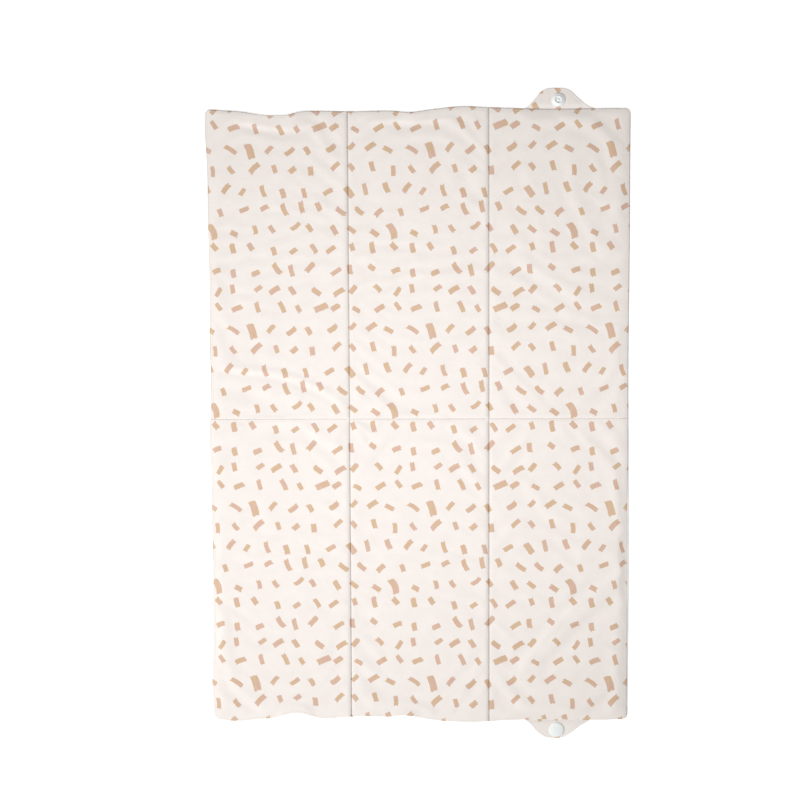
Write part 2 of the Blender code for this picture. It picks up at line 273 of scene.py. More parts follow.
def front_side_edge(u, v):
    """How far in the front's side edge lies, and how high: tucked just under the roll's end."""
    roll, share = side_roll(u, v)
    inset, height = rolled_side(np.zeros(u.shape), roll)
    tuck = np.where(u < 0, LEFT_TUCK, RIGHT_TUCK)
    return inset * share, EDGE_MIDDLE + (height - tuck - EDGE_MIDDLE) * share


# ---------------------------------------------------------------- soft folds in the front fabric

def path_distance(u, v, points):
    """Signed distance to a path of (x, y) points in mm, and the share of the way along it."""
    best = np.full(u.shape, np.inf)
    signed = np.zeros(u.shape)
    share = np.zeros(u.shape)
    corners = np.array(points, float) * MM
    lengths = np.linalg.norm(np.diff(corners, axis=0), axis=1)
    total = lengths.sum()
    walked = 0.0
    for start, end, length in zip(corners, corners[1:], lengths):
        direction = (end - start) / length
        along = (u - start[0]) * direction[0] + (v - start[1]) * direction[1]
        off = (u - start[0]) * -direction[1] + (v - start[1]) * direction[0]
        held = np.clip(along, 0.0, length)
        distance = np.sqrt(off ** 2 + (along - held) ** 2)
        nearer = distance < best
        best = np.where(nearer, distance, best)
        signed = np.where(nearer, np.where(off < 0, -distance, distance), signed)
        share = np.where(nearer, (walked + held) / total, share)
        walked += length
    return signed, share


def smooth_path(points, steps=5):
    """A Catmull-Rom curve through given points."""
    corners = np.array(points, float)
    padded = np.vstack([2 * corners[0] - corners[1], corners, 2 * corners[-1] - corners[-2]])
    curve = []
    for first, second, third, fourth in zip(padded, padded[1:], padded[2:], padded[3:]):
        for step in range(steps):
            t = step / steps
            curve.append(0.5 * (2 * second + (third - first) * t
                                + (2 * first - 5 * second + 4 * third - fourth) * t ** 2
                                + (3 * second - first - 3 * third + fourth) * t ** 3))
    curve.append(corners[-1])
    return curve


# Each fold: its path in mm, its half width in mm, its height in mm, and how much it leans like a step
# (the left side of the path higher) rather than standing up as a ridge.
FOLDS = (
    # The long diagonal crease of the upper left panel, down to the seam crossing.
    (((-204, 50), (-148, 44), (-120, 37), (-91, 24), (-78, 13), (-70, 2)), 3.2, 0.42, 0.7),
    (((-204, 30), (-168, 24), (-140, 12), (-118, 6)), 9.0, -0.20, 0.0),
    # Short puckers round the crossing.
    (((-66, -3), (-56, -9), (-44, -19)), 2.6, 0.42, 0.35),
    (((-65, -8), (-58, -17), (-52, -30)), 3.0, 0.30, 0.35),
    (((-63, -2), (-52, -4), (-40, -8)), 2.4, -0.26, 0.0),
    (((-72, -5), (-80, -16), (-86, -30)), 3.2, 0.28, 0.4),
    (((-74, -3), (-90, -10), (-108, -17)), 3.4, 0.24, 0.4),
    (((-71, 6), (-76, 20), (-78, 38)), 3.6, 0.26, 0.4),
    (((-66, 5), (-58, 14), (-47, 20)), 4.0, 0.22, 0.3),
    # The broad diagonal fold of the lower right panel.
    (((204, -150), (178, -170), (150, -194), (122, -222), (104, -247), (92, -272)), 8.0, 0.75, 0.35),
    (((204, -176), (182, -190), (160, -208), (132, -240), (116, -262)), 8.0, -0.45, 0.0),
    (((200, -118), (176, -128), (148, -132)), 9.0, 0.22, 0.3),
    # Soft waves in the upper right panel.
    (((92, 262), (108, 222), (116, 180), (132, 140)), 9.0, 0.30, 0.4),
    (((132, 284), (146, 246), (150, 214), (168, 176), (184, 146)), 8.0, 0.34, 0.4),
    (((82, 210), (96, 170), (112, 146), (150, 122), (190, 100)), 9.0, 0.28, 0.4),
    (((78, 60), (104, 78), (132, 84), (170, 62)), 10.0, 0.24, 0.3),
    (((84, -58), (104, -66), (126, -92), (150, -104)), 8.0, 0.24, 0.4),
    (((74, -132), (92, -112), (108, -104)), 6.0, 0.26, 0.4),
    # The crease along the top edge of the middle panel, and the curled hem below it.
    (((-56, 288), (-20, 290), (12, 289), (40, 287)), 2.6, 0.40, 0.5),
    (((-196, 292), (-150, 288), (-120, 284), (-92, 290)), 4.0, 0.30, 0.5),
    (((-58, -291), (-30, -288), (0, -289), (18, -294)), 3.0, 0.38, 0.5),
    (((-150, -290), (-126, -284), (-104, -290)), 4.0, 0.30, 0.5),
    # Faint slack in the lower left and middle panels.
    (((-190, -60), (-160, -84), (-140, -120)), 10.0, 0.18, 0.3),
    (((-40, -60), (-20, -110), (-26, -160)), 12.0, 0.18, 0.3),
    (((20, 150), (30, 110), (24, 60)), 14.0, 0.16, 0.3),
)
FOLD_REACH = 3.2
STEP_FALL_OFF = 0.7
STEP_GAIN = 1.5
FOLD_FADE_IN = 0.18
FOLD_FADE_OUT = 0.22


def fold_relief(u, v):
    relief = np.zeros(u.shape)
    for points, width, height, lean in FOLDS:
        path = smooth_path(points)
        corners = np.array(path) * MM
        margin = FOLD_REACH * width * MM
        near = (u > corners[:, 0].min() - margin) & (u < corners[:, 0].max() + margin)
        near &= (v > corners[:, 1].min() - margin) & (v < corners[:, 1].max() + margin)
        if not near.any():
            continue
        signed, share = path_distance(u[near], v[near], path)
        scaled = signed / (width * MM)
        ridge = np.exp(-scaled ** 2)
        step = scaled * np.exp(-STEP_FALL_OFF * scaled ** 2) * STEP_GAIN
        fade = smoothstep(share / FOLD_FADE_IN) * smoothstep((1.0 - share) / FOLD_FADE_OUT)
        relief[near] += height * MM * fade * ((1.0 - abs(lean)) * ridge + lean * step)
    return relief


# Slow unevenness of the wadding: (waves across, waves along, phase, height in mm).
SLOW_WAVES = ((1.3, 0.9, 0.4, 0.10), (-0.8, 2.1, 2.2, 0.08), (2.6, -1.7, 4.1, 0.06),
              (3.7, 3.1, 1.3, 0.045), (-4.9, 2.4, 5.2, 0.035), (1.9, -5.6, 0.9, 0.035))


def slow_relief(u, v):
    relief = np.zeros(u.shape)
    for across, along, phase, height in SLOW_WAVES:
        turn = 2 * math.pi * (across * u / (2 * HALF_WIDTH) + along * v / (2 * HALF_LENGTH)) + phase
        relief += height * MM * np.sin(turn)
    return relief


# ---------------------------------------------------------------- heights of the two surfaces

def seam_middles(u, v):
    """Heights of the middle of the sewn plies on the vertical and on the horizontal fold seams."""
    inner = smoothstep(edge_distance(u, v) / SEAM_END)
    near_cross = bump(v, CROSSING_WIDTH)
    vertical = FOLD_SEAM_HEIGHT + (CROSS_SEAM_HEIGHT - FOLD_SEAM_HEIGHT) * near_cross
    vertical = EDGE_MIDDLE + (vertical - EDGE_MIDDLE) * inner
    horizontal = EDGE_MIDDLE + (CROSS_SEAM_HEIGHT - EDGE_MIDDLE) * inner
    return vertical, horizontal


# Shapes of the creases: the share of the depth in the narrow pinch, its width, and the wider rounding.
LEFT_PINCH = 0.52
LEFT_PINCH_WIDTH = 0.45 * MM
LEFT_ROUNDING = 2.5 * MM
LEFT_ROUNDING_POWER = 1.3
RIGHT_PINCH = 0.90
RIGHT_PINCH_WIDTH = 0.26 * MM
RIGHT_ROUNDING = 1.6 * MM
CROSS_PINCH = 0.85
CROSS_PINCH_WIDTH = 0.42 * MM
CROSS_ROUNDING = 2.5 * MM


def fold_crease(offset, bottom):
    """Vertical seam: the left panel rolls down into it over a few millimetres, the right one drops."""
    from_left = np.maximum(-offset, 0.0)
    from_right = np.maximum(offset, 0.0)
    pinch = LEFT_PINCH * np.exp(-from_left / LEFT_PINCH_WIDTH)
    rolled = pinch + (1.0 - LEFT_PINCH) * np.exp(-(from_left / LEFT_ROUNDING) ** LEFT_ROUNDING_POWER)
    pinch = RIGHT_PINCH * np.exp(-from_right / RIGHT_PINCH_WIDTH)
    upright = pinch + (1.0 - RIGHT_PINCH) * np.exp(-from_right / RIGHT_ROUNDING)
    return TOP_HEIGHT - (TOP_HEIGHT - bottom) * np.where(offset < 0, rolled, upright)


def cross_crease(distance, bottom):
    """Horizontal seam: a narrow stitched crease."""
    pinch = CROSS_PINCH * np.exp(-distance / CROSS_PINCH_WIDTH)
    depth = pinch + (1.0 - CROSS_PINCH) * bump(distance, CROSS_ROUNDING)
    return TOP_HEIGHT - (TOP_HEIGHT - bottom) * depth


def edge_profile(distance, base, turn_width, shoulder, slope_width):
    """Sewn edge: a short rounded turn up to the shoulder, then the wadding's gentle slope."""
    turn = np.clip(distance / turn_width, 0.0, 1.0)
    rounded = base + (shoulder - base) * np.sqrt(1.0 - (1.0 - turn) ** 2)
    slope = np.clip((distance - 0.5 * turn_width) / slope_width, 0.0, 1.0)
    rise = 1.0 - (1.0 - slope) ** 2.0
    groove = GROOVE_DEPTH * bump(distance - STITCH_INSET, GROOVE_WIDTH)
    return rounded + (TOP_HEIGHT - shoulder) * rise - groove


def fold_distances(u, v):
    return np.minimum(np.abs(u - FOLD_X), np.abs(u + FOLD_X)), np.abs(v)


RELIEF_EDGE_FADE = 8 * MM
RELIEF_SEAM_FADE = 2 * MM
RELIEF_HELD = 0.8
SEAM_BLEND = 0.20 * MM
EDGE_BLEND = 0.25 * MM


def front_height(u, v):
    beside_fold, beside_cross = fold_distances(u, v)
    vertical, horizontal = seam_middles(u, v)
    left, right, bottom, top = edge_distances(u, v)
    nearest_fold = np.where(u > 0, u - FOLD_X, u + FOLD_X)
    height = soft_min(fold_crease(nearest_fold, vertical + SEAM_PLIES),
                      cross_crease(beside_cross, horizontal + SEAM_PLIES), SEAM_BLEND)
    side_base = front_side_edge(u, v)[1]
    shoulder = SIDE_SHOULDER - RIGHT_SHOULDER_DROP * side_roll(u, v)[0] * (u > 0)
    sides = edge_profile(np.minimum(left, right), side_base, SIDE_TURN, shoulder, SIDE_SLOPE)
    tab = smoothstep((TAB_PULL_HALF - np.abs(u - TAB_X)) / TAB_PULL_FADE)
    end_base = EDGE_MIDDLE + (TAB_EDGE_BASE - EDGE_MIDDLE) * tab
    end_shoulder = END_SHOULDER + (TAB_SHOULDER - END_SHOULDER) * tab
    end_slope = END_SLOPE + (TAB_SLOPE - END_SLOPE) * tab
    ends = edge_profile(np.minimum(bottom, top), end_base, END_TURN, end_shoulder, end_slope)
    height = soft_min(height, soft_min(sides, ends, EDGE_BLEND), EDGE_BLEND)
    inner = smoothstep((edge_distance(u, v) - END_TURN) / RELIEF_EDGE_FADE)
    inner = inner * (1.0 - RELIEF_HELD * np.exp(-beside_fold / RELIEF_SEAM_FADE))
    inner = inner * (1.0 - RELIEF_HELD * np.exp(-beside_cross / RELIEF_SEAM_FADE))
    height = height + (fold_relief(u, v) + slow_relief(u, v)) * inner
    over = np.maximum(height - TOP_HEIGHT, 0.0)
    room = TOP_LIMIT - TOP_HEIGHT
    return np.where(over > 0, TOP_HEIGHT + room * np.tanh(over / room), height)


def back_height(u, v):
    beside_fold, beside_cross = fold_distances(u, v)
    vertical, horizontal = seam_middles(u, v)
    edge = edge_distance(u, v)
    fold_share = np.clip(beside_fold / BACK_CHANNEL, 0.0, 1.0)
    cross_share = np.clip(beside_cross / BACK_CHANNEL, 0.0, 1.0)
    turn = np.clip(edge / BACK_EDGE_RADIUS, 0.0, 1.0)
    over_fold = (vertical - SEAM_PLIES) * (1.0 - fold_share) ** CHANNEL_POWER
    over_cross = (horizontal - SEAM_PLIES) * (1.0 - cross_share) ** CHANNEL_POWER
    at_edge = BACK_EDGE_HEIGHT * (1.0 - np.sqrt(1.0 - (1.0 - turn) ** 2))
    beside = HALF_WIDTH - np.abs(u)
    roll, share = side_roll(u, v)
    at_edge = at_edge + (rolled_side(beside, roll)[1] - at_edge) * share
    return np.maximum(np.maximum(over_fold, over_cross), at_edge)


LIFT_SHARE = 0.42
LIFT_REACH = 16 * MM


def edge_lift(u, v):
    """Where the sewn edge is drawn in it also rises off the floor."""
    bottom = v + HALF_LENGTH
    top = HALF_LENGTH - v
    drawn_top = np.maximum(-wave_sum(TOP_WAVES, u), 0.0)
    drawn_bottom = np.maximum(-wave_sum(BOTTOM_WAVES, u), 0.0)
    lift = LIFT_SHARE * drawn_top * smoothstep(1.0 - top / LIFT_REACH)
    return lift + LIFT_SHARE * drawn_bottom * smoothstep(1.0 - bottom / LIFT_REACH)


puckers = None


def sample_puckers(u, v):
    """Simulated shift of the front fabric at (u, v), read between the simulation's grid points."""
    if puckers is None:
        return np.zeros(u.shape + (3,))
    lines_u, lines_v, field = puckers
    place_u = np.interp(u, lines_u, np.arange(len(lines_u)))
    place_v = np.interp(v, lines_v, np.arange(len(lines_v)))
    low_u = np.minimum(place_u.astype(int), len(lines_u) - 2)
    low_v = np.minimum(place_v.astype(int), len(lines_v) - 2)
    part_u = (place_u - low_u)[..., None]
    part_v = (place_v - low_v)[..., None]
    near = field[low_v, low_u] * (1 - part_u) + field[low_v, low_u + 1] * part_u
    far = field[low_v + 1, low_u] * (1 - part_u) + field[low_v + 1, low_u + 1] * part_u
    return near * (1 - part_v) + far * part_v


def front_surface(u, v):
    x, y = in_plane(u, v)
    inset = front_side_edge(u, v)[0]
    x = x - np.sign(u) * inset * smoothstep(1.0 - (HALF_WIDTH - np.abs(u)) / FRONT_TAKEN_IN)
    shift = sample_puckers(u, v)
    lift = edge_lift(u, v)
    height = np.minimum(front_height(u, v) + shift[..., 2] + lift, TOP_LIMIT)
    return np.stack([x + shift[..., 0], y + shift[..., 1], height], axis=-1)


def back_surface(u, v):
    x, y = in_plane(u, v)
    beside = HALF_WIDTH - np.abs(u)
    roll, share = side_roll(u, v)
    x = x + np.sign(u) * (beside - rolled_side(beside, roll)[0]) * share
    lift = edge_lift(u, v)
    height = np.minimum(back_height(u, v) + lift, TOP_LIMIT - BOTH_COVERS * PLY)
    return np.stack([x, y, height], axis=-1)


def surface_normals(points):
    """Unit normals of a grid of points, facing up for the front surface."""
    along = np.gradient(points, axis=0)
    across = np.gradient(points, axis=1)
    normal = np.cross(across, along)
    length = np.linalg.norm(normal, axis=-1, keepdims=True)
    return normal / np.maximum(length, 1e-12)


# ---------------------------------------------------------------- meshes

def new_object(name, mesh):
    made = bpy.data.objects.new(name, mesh)
    bpy.context.scene.collection.objects.link(made)
    return made


def mesh_object(name, vertices, faces, material, smooth=True):
    mesh = bpy.data.meshes.new(name)
    mesh.from_pydata([tuple(p) for p in vertices], [], faces)
    mesh.update()
    mesh.materials.append(material)
    if smooth:
        mesh.shade_smooth()
    return new_object(name, mesh)


def grid_faces(rows, columns, first, flip):
    """Quads of a grid of vertices, stored row by row from the index first."""
    row, column = np.meshgrid(np.arange(rows - 1), np.arange(columns - 1), indexing="ij")
    corner = (first + row * columns + column).ravel()
    quads = np.stack([corner, corner + 1, corner + columns + 1, corner + columns], axis=1)
    return quads[:, ::-1] if flip else quads


def border_indices(rows, columns):
    """Indices round the grid's border, anticlockwise."""
    bottom = np.arange(columns - 1)
    right = np.arange(rows - 1) * columns + columns - 1
    top = (rows - 1) * columns + np.arange(columns - 1, 0, -1)
    left = np.arange(rows - 1, 0, -1) * columns
    return np.concatenate([bottom, right, top, left])


def shell(name, outer, inner, flat, material):
    """Closed thin fabric piece from its outer and inner grids; flat is the uncut cloth's (u, v)."""
    rows, columns = outer.shape[:2]
    count = rows * columns
    facing_up = surface_normals(outer)[rows // 2, columns // 2, 2] > 0
    outside_up = (outer - inner)[rows // 2, columns // 2, 2] > 0
    vertices = np.concatenate([outer.reshape(-1, 3), inner.reshape(-1, 3)])
    flip = facing_up != outside_up
    faces = [grid_faces(rows, columns, 0, flip), grid_faces(rows, columns, count, not flip)]
    border = border_indices(rows, columns)
    after = np.roll(border, -1)
    rim = np.stack([border, border + count, after + count, after], axis=1)
    faces.append(rim[:, ::-1] if flip else rim)
    faces = np.concatenate(faces)
    piece = mesh_object(name, vertices, faces.tolist(), material)
    layer = piece.data.uv_layers.new(name="cloth")
    uv = np.concatenate([flat.reshape(-1, 2), flat.reshape(-1, 2)])
    corner_vertex = np.zeros(len(piece.data.loops), np.int32)
    piece.data.loops.foreach_get("vertex_index", corner_vertex)
    layer.data.foreach_set("uv", uv[corner_vertex].astype(np.float32).ravel())
    mark_rim_sharp(piece.data, count, border)
    return piece


def mark_rim_sharp(mesh, count, border):
    on_rim = np.zeros(2 * count, bool)
    on_rim[border] = True
    on_rim[border + count] = True
    ends = np.zeros(len(mesh.edges) * 2, np.int32)
    mesh.edges.foreach_get("vertices", ends)
    ends = ends.reshape(-1, 2)
    same_side = (ends[:, 0] < count) == (ends[:, 1] < count)
    steps = np.abs(ends[:, 0] - ends[:, 1])
    sharp = on_rim[ends[:, 0]] & on_rim[ends[:, 1]] & same_side & (steps > 0)
    attribute = mesh.attributes.new("sharp_edge", "BOOLEAN", "EDGE")
    attribute.data.foreach_set("value", sharp)


# ---------------------------------------------------------------- materials

class Value:
    """A value inside a material's node tree that ordinary arithmetic works on."""

    def __init__(self, nodes, socket):
        self.nodes = nodes
        self.socket = socket

    def __add__(self, other):
        return self.nodes.math("ADD", self, other)

    def __sub__(self, other):
        return self.nodes.math("SUBTRACT", self, other)

    def __rsub__(self, other):
        return self.nodes.math("SUBTRACT", other, self)

    def __mul__(self, other):
        return self.nodes.math("MULTIPLY", self, other)

    def __truediv__(self, other):
        return self.nodes.math("DIVIDE", self, other)

    def __mod__(self, other):
        return self.nodes.math("FLOORED_MODULO", self, other)

    def __abs__(self):
        return self.nodes.math("ABSOLUTE", self)


class Nodes:
    """Short calls for building a material's node tree."""

    def __init__(self, name):
        self.material = bpy.data.materials.new(name)
        self.material.use_nodes = True
        self.tree = self.material.node_tree
        self.shader = self.tree.nodes["Principled BSDF"]

    def put(self, socket, value):
        if isinstance(value, Value):
            self.tree.links.new(value.socket, socket)
        else:
            socket.default_value = value

    def add(self, kind, inputs=(), **settings):
        node = self.tree.nodes.new(kind)
        for key, value in settings.items():
            setattr(node, key, value)
        for key, value in dict(inputs).items():
            self.put(node.inputs[key], value)
        return node

    def result(self, node, output=0):
        return Value(self, node.outputs[output])

    def math(self, operation, first, second=0.0):
        return self.result(self.add("ShaderNodeMath", {0: first, 1: second}, operation=operation))

    def combine(self, x, y, z=0.0):
        return self.result(self.add("ShaderNodeCombineXYZ", {"X": x, "Y": y, "Z": z}))

    def split(self, vector):
        node = self.add("ShaderNodeSeparateXYZ", {"Vector": vector})
        return [self.result(node, axis) for axis in range(3)]

    def ramp(self, value, low, high, to_low=0.0, to_high=1.0, kind="LINEAR"):
        inputs = {"Value": value, "From Min": low, "From Max": high, "To Min": to_low, "To Max": to_high}
        return self.result(self.add("ShaderNodeMapRange", inputs, interpolation_type=kind), "Result")

    def mix(self, share, first, second, blend="MIX"):
        inputs = {0: share, 6: first, 7: second}
        return self.result(self.add("ShaderNodeMix", inputs, data_type="RGBA", blend_type=blend), 2)

    def shaded(self, colour, factor):
        return self.mix(1.0, colour, self.combine(factor, factor, factor), "MULTIPLY")

    def noise(self, vector, scale, detail=2.0, roughness=0.5):
        inputs = {"Vector": vector, "Scale": scale, "Detail": detail, "Roughness": roughness}
        return self.result(self.add("ShaderNodeTexNoise", inputs))

    def spread(self, noise, low=0.0, high=1.0):
        """Spreads the usual range of a noise over low to high."""
        return self.ramp(noise, 0.3, 0.7, low, high)

    def clouded(self, place, scale, detail, first, second):
        return self.mix(self.spread(self.noise(place, scale, detail)), first, second)

    def bump(self, height, distance, strength=1.0, normal=None):
        node = self.add("ShaderNodeBump", {"Height": height, "Distance": distance, "Strength": strength})
        if normal is not None:
            self.put(node.inputs["Normal"], normal)
        return self.result(node)

    def millimetres(self, metres):
        node = self.add("ShaderNodeVectorMath", {0: metres, 3: 1.0 / MM}, operation="SCALE")
        return self.result(node)

    def cloth(self):
        """The flat cloth's own coordinates, in millimetres."""
        return self.millimetres(self.result(self.add("ShaderNodeUVMap", uv_map="cloth")))

    def object_place(self):
        return self.result(self.add("ShaderNodeTexCoord"), "Object")

    def set(self, **values):
        for key, value in values.items():
            self.put(self.shader.inputs[key.replace("_", " ")], value)


# The weave's and the print's sizes are in millimetres.
FRONT_THREAD_PITCH = 0.42
BACK_THREAD_PITCH = 0.50
THREAD_WOBBLE = 0.35
RIDGE_SHARE = 0.35


def weave_height(nodes, cloth, pitch):
    """Plain weave: threads across and along that pass over each other in turn, slightly uneven."""
    wobble = nodes.noise(cloth, 0.9, 1.0) * THREAD_WOBBLE
    x, y, _ = nodes.split(cloth)
    turn_x = (x + wobble) * (math.pi / pitch)
    turn_y = (y - wobble) * (math.pi / pitch)
    over = nodes.math("SINE", turn_x) * nodes.math("SINE", turn_y)
    ridges = abs(nodes.math("COSINE", turn_x)) + abs(nodes.math("COSINE", turn_y))
    return abs(over) + ridges * RIDGE_SHARE


REPEAT_CELLS = 9
REPEAT_MM = 175.0
CELL_MM = REPEAT_MM / REPEAT_CELLS
SPREAD_ACROSS = 3.6
SPREAD_ALONG = 3.4
RISING_SHARE = 0.42
RISING_ANGLES = (math.radians(18), math.radians(58))
FALLING_ANGLES = (math.radians(92), math.radians(156))
HALF_LENGTHS = (3.7, 6.1)
HALF_WIDTHS = (2.15, 2.65)
BIG_DASHES_FROM = 0.92
BIG_DASH_LONGER = 2.0
BIG_DASH_WIDER = 0.9
BRUSH_CURVE = 0.035
BRUSH_ENDS = 0.85
RAGGED_EDGE = 0.38
CORNER_ROUNDING = 0.7
INK_EDGE = 0.15
DRY_BRUSH = 0.12


def random_values(nodes, column, row, seed):
    """Three random numbers, the same for every repeat of the print."""
    place = nodes.combine(column + (0.37 + 3 * seed), row + 0.61, seed)
    noise = nodes.add("ShaderNodeTexWhiteNoise", {"Vector": place}, noise_dimensions="3D")
    separate = nodes.add("ShaderNodeSeparateColor", {0: nodes.result(noise, "Color")})
    return [nodes.result(separate, channel) for channel in range(3)]


def dash_angle(nodes, turn):
    """Most dashes rise to the right by about 35 degrees, and the others fall over a wider range."""
    swing = nodes.ramp(turn, 0.0, RISING_SHARE, -1.0, 1.0)
    swing = swing + nodes.math("POWER", abs(swing), 3.0) * nodes.math("SIGN", swing)
    rising = nodes.ramp(swing, -2, 2, *RISING_ANGLES)
    falling = nodes.ramp(turn, RISING_SHARE, 1.0, *FALLING_ANGLES)
    is_rising = nodes.math("LESS_THAN", turn, RISING_SHARE)
    return is_rising * rising + (1.0 - is_rising) * falling


def dash_print(nodes, cloth):
    """Mask of short brush dashes, one in each cell of a repeating grid."""
    x, y, _ = nodes.split(cloth)
    row = nodes.math("FLOOR", y / CELL_MM)
    row_kept = row % REPEAT_CELLS
    x = x + random_values(nodes, row_kept, row_kept, 4.0)[0] * CELL_MM
    column = nodes.math("FLOOR", x / CELL_MM)
    column_kept = column % REPEAT_CELLS
    place = random_values(nodes, column_kept, row_kept, 1.0)
    turn = random_values(nodes, column_kept, row_kept, 2.0)
    size = random_values(nodes, column_kept, row_kept, 3.0)
    from_x = x - (column * CELL_MM + CELL_MM / 2 + nodes.ramp(place[0], 0, 1, -SPREAD_ACROSS, SPREAD_ACROSS))
    from_y = y - (row * CELL_MM + CELL_MM / 2 + nodes.ramp(place[1], 0, 1, -SPREAD_ALONG, SPREAD_ALONG))
    angle = dash_angle(nodes, turn[0])
    cosine = nodes.math("COSINE", angle)
    sine = nodes.math("SINE", angle)
    along = from_x * cosine + from_y * sine
    across = from_y * cosine - from_x * sine
    across = across + nodes.ramp(turn[1], 0, 1, -BRUSH_CURVE, BRUSH_CURVE) * (along * along)
    is_big = nodes.math("GREATER_THAN", size[2], BIG_DASHES_FROM)
    length = nodes.ramp(size[0], 0, 1, *HALF_LENGTHS) + is_big * BIG_DASH_LONGER
    width = nodes.ramp(size[1], 0, 1, *HALF_WIDTHS) + is_big * BIG_DASH_WIDER
    streaks = nodes.noise(nodes.combine(along * 0.10, across * 0.85, size[0] * 40.0), 1.0, 1.0)
    length = length + nodes.ramp(streaks, 0.25, 0.75, -BRUSH_ENDS, BRUSH_ENDS)
    past_length = nodes.math("MAXIMUM", abs(along) - length + CORNER_ROUNDING, 0.0)
    past_width = nodes.math("MAXIMUM", abs(across) - width + CORNER_ROUNDING, 0.0)
    outside = nodes.math("SQRT", past_length * past_length + past_width * past_width) - CORNER_ROUNDING
    outside = outside + nodes.ramp(nodes.noise(cloth, 0.8, 3.0), 0.25, 0.75, -RAGGED_EDGE, RAGGED_EDGE)
    mask = nodes.ramp(outside, INK_EDGE, -INK_EDGE, kind="SMOOTHSTEP")
    return mask * (1.0 - nodes.ramp(streaks, 0.35, 0.8, 0.0, DRY_BRUSH))


IVORY = (0.813, 0.755, 0.712, 1.0)
IVORY_SHADE = (0.783, 0.722, 0.680, 1.0)
DASH_TAN = (0.592, 0.404, 0.248, 1.0)
DASH_ROSE = (0.606, 0.393, 0.300, 1.0)
BACK_IVORY = (0.865, 0.825, 0.780, 1.0)
BACK_SHADE = (0.835, 0.793, 0.747, 1.0)
THREAD_SHADE = (0.70, 0.645, 0.59, 1.0)
THREAD_IVORY = (0.82, 0.765, 0.71, 1.0)
SNAP_SHADE = (0.81, 0.832, 0.822, 1.0)
SNAP_WHITE = (0.85, 0.867, 0.858, 1.0)
WADDING_COLOURS = ((0.86, 0.86, 0.84, 1.0), (0.74, 0.74, 0.72, 1.0))
INTERLINING_COLOURS = ((0.80, 0.80, 0.78, 1.0), (0.70, 0.70, 0.68, 1.0))
# Painted shade: how dark the colour is painted in the vertical seams' creases and along the side seams.
FOLD_PAINTED_SHADE = 0.75
SIDE_PAINTED_SHADE = 0.84


def painted_seam_shade(nodes, cloth):
    """Factor that paints shade into the colour where the fabric is pinched in the vertical seams and in the
    side seams.
    """
    x = abs(nodes.split(cloth)[0])
    from_fold = abs(x - (FOLD_X / MM + 0.05))
    from_side = abs(x - HALF_WIDTH / MM)
    at_fold = nodes.ramp(from_fold, 0.25, 1.0, FOLD_PAINTED_SHADE, 1.0, kind="SMOOTHSTEP")
    return at_fold * nodes.ramp(from_side, 0.5, 1.5, SIDE_PAINTED_SHADE, 1.0, kind="SMOOTHSTEP")


def printed_fabric():
    nodes = Nodes("printed_fabric_fine")
    cloth = nodes.cloth()
    mask = dash_print(nodes, cloth)
    ground = nodes.clouded(cloth, 0.06, 3.0, IVORY, IVORY_SHADE)
    rosy = nodes.ramp(nodes.noise(cloth, 0.11, 1.0), 0.42, 0.6, kind="SMOOTHSTEP")
    ink = nodes.mix(rosy, DASH_TAN, DASH_ROSE)
    weave = weave_height(nodes, cloth, FRONT_THREAD_PITCH)
    # Painted shade and highlight: the colour is darker in the weave's hollows and lighter on its raised
    # threads, times the painted seam shade.
    shade = nodes.ramp(weave, 0.0, 1.4, 0.965, 1.015) * painted_seam_shade(nodes, cloth)
    fine = nodes.bump(weave, 0.035 * MM, 0.8)
    soft = nodes.bump(nodes.noise(cloth, 0.22, 3.0), 0.16 * MM, 0.7, fine)
    rough = nodes.spread(nodes.noise(cloth, 0.35, 2.0), 0.56, 0.66) - mask * 0.05
    nodes.set(Base_Color=nodes.shaded(nodes.mix(mask, ground, ink), shade), Roughness=rough, Normal=soft)
    nodes.set(Sheen_Weight=0.12, Sheen_Roughness=0.5, Coat_Weight=0.05, Coat_Roughness=0.45,
              Specular_IOR_Level=0.35)
    return nodes.material


def back_fabric():
    nodes = Nodes("back_fabric_fine")
    cloth = nodes.cloth()
    ground = nodes.clouded(cloth, 0.05, 3.0, BACK_IVORY, BACK_SHADE)
    weave = weave_height(nodes, cloth, BACK_THREAD_PITCH)
    fine = nodes.bump(weave, 0.05 * MM, 0.8)
    soft = nodes.bump(nodes.noise(cloth, 0.18, 3.0), 0.25 * MM, 0.7, fine)
    rough = nodes.spread(nodes.noise(cloth, 0.3, 2.0), 0.66, 0.76)
    # Painted shade and highlight: the colour is darker in the weave's hollows and lighter on its raised
    # threads.
    colour = nodes.shaded(ground, nodes.ramp(weave, 0.0, 1.4, 0.95, 1.02))
    nodes.set(Base_Color=colour, Roughness=rough, Normal=soft)
    nodes.set(Sheen_Weight=0.2, Sheen_Roughness=0.5, Specular_IOR_Level=0.3)
    return nodes.material


def felt(name, colours, scale, depth):
    """Fluffy or felted fibre: wadding and interlining."""
    nodes = Nodes(name)
    place = nodes.millimetres(nodes.object_place())
    fibres = nodes.noise(place, scale, 6.0, 0.7)
    tufts = nodes.noise(place, scale * 0.18, 3.0)
    nodes.set(Base_Color=nodes.mix(nodes.spread(fibres), *colours), Sheen_Weight=0.4,
              Roughness=nodes.spread(fibres, 0.85, 0.98), Specular_IOR_Level=0.2,
              Normal=nodes.bump(fibres, depth, 0.8, nodes.bump(tufts, 3 * depth, 0.6)))
    return nodes.material


THREAD_TWIST_MM = 0.45


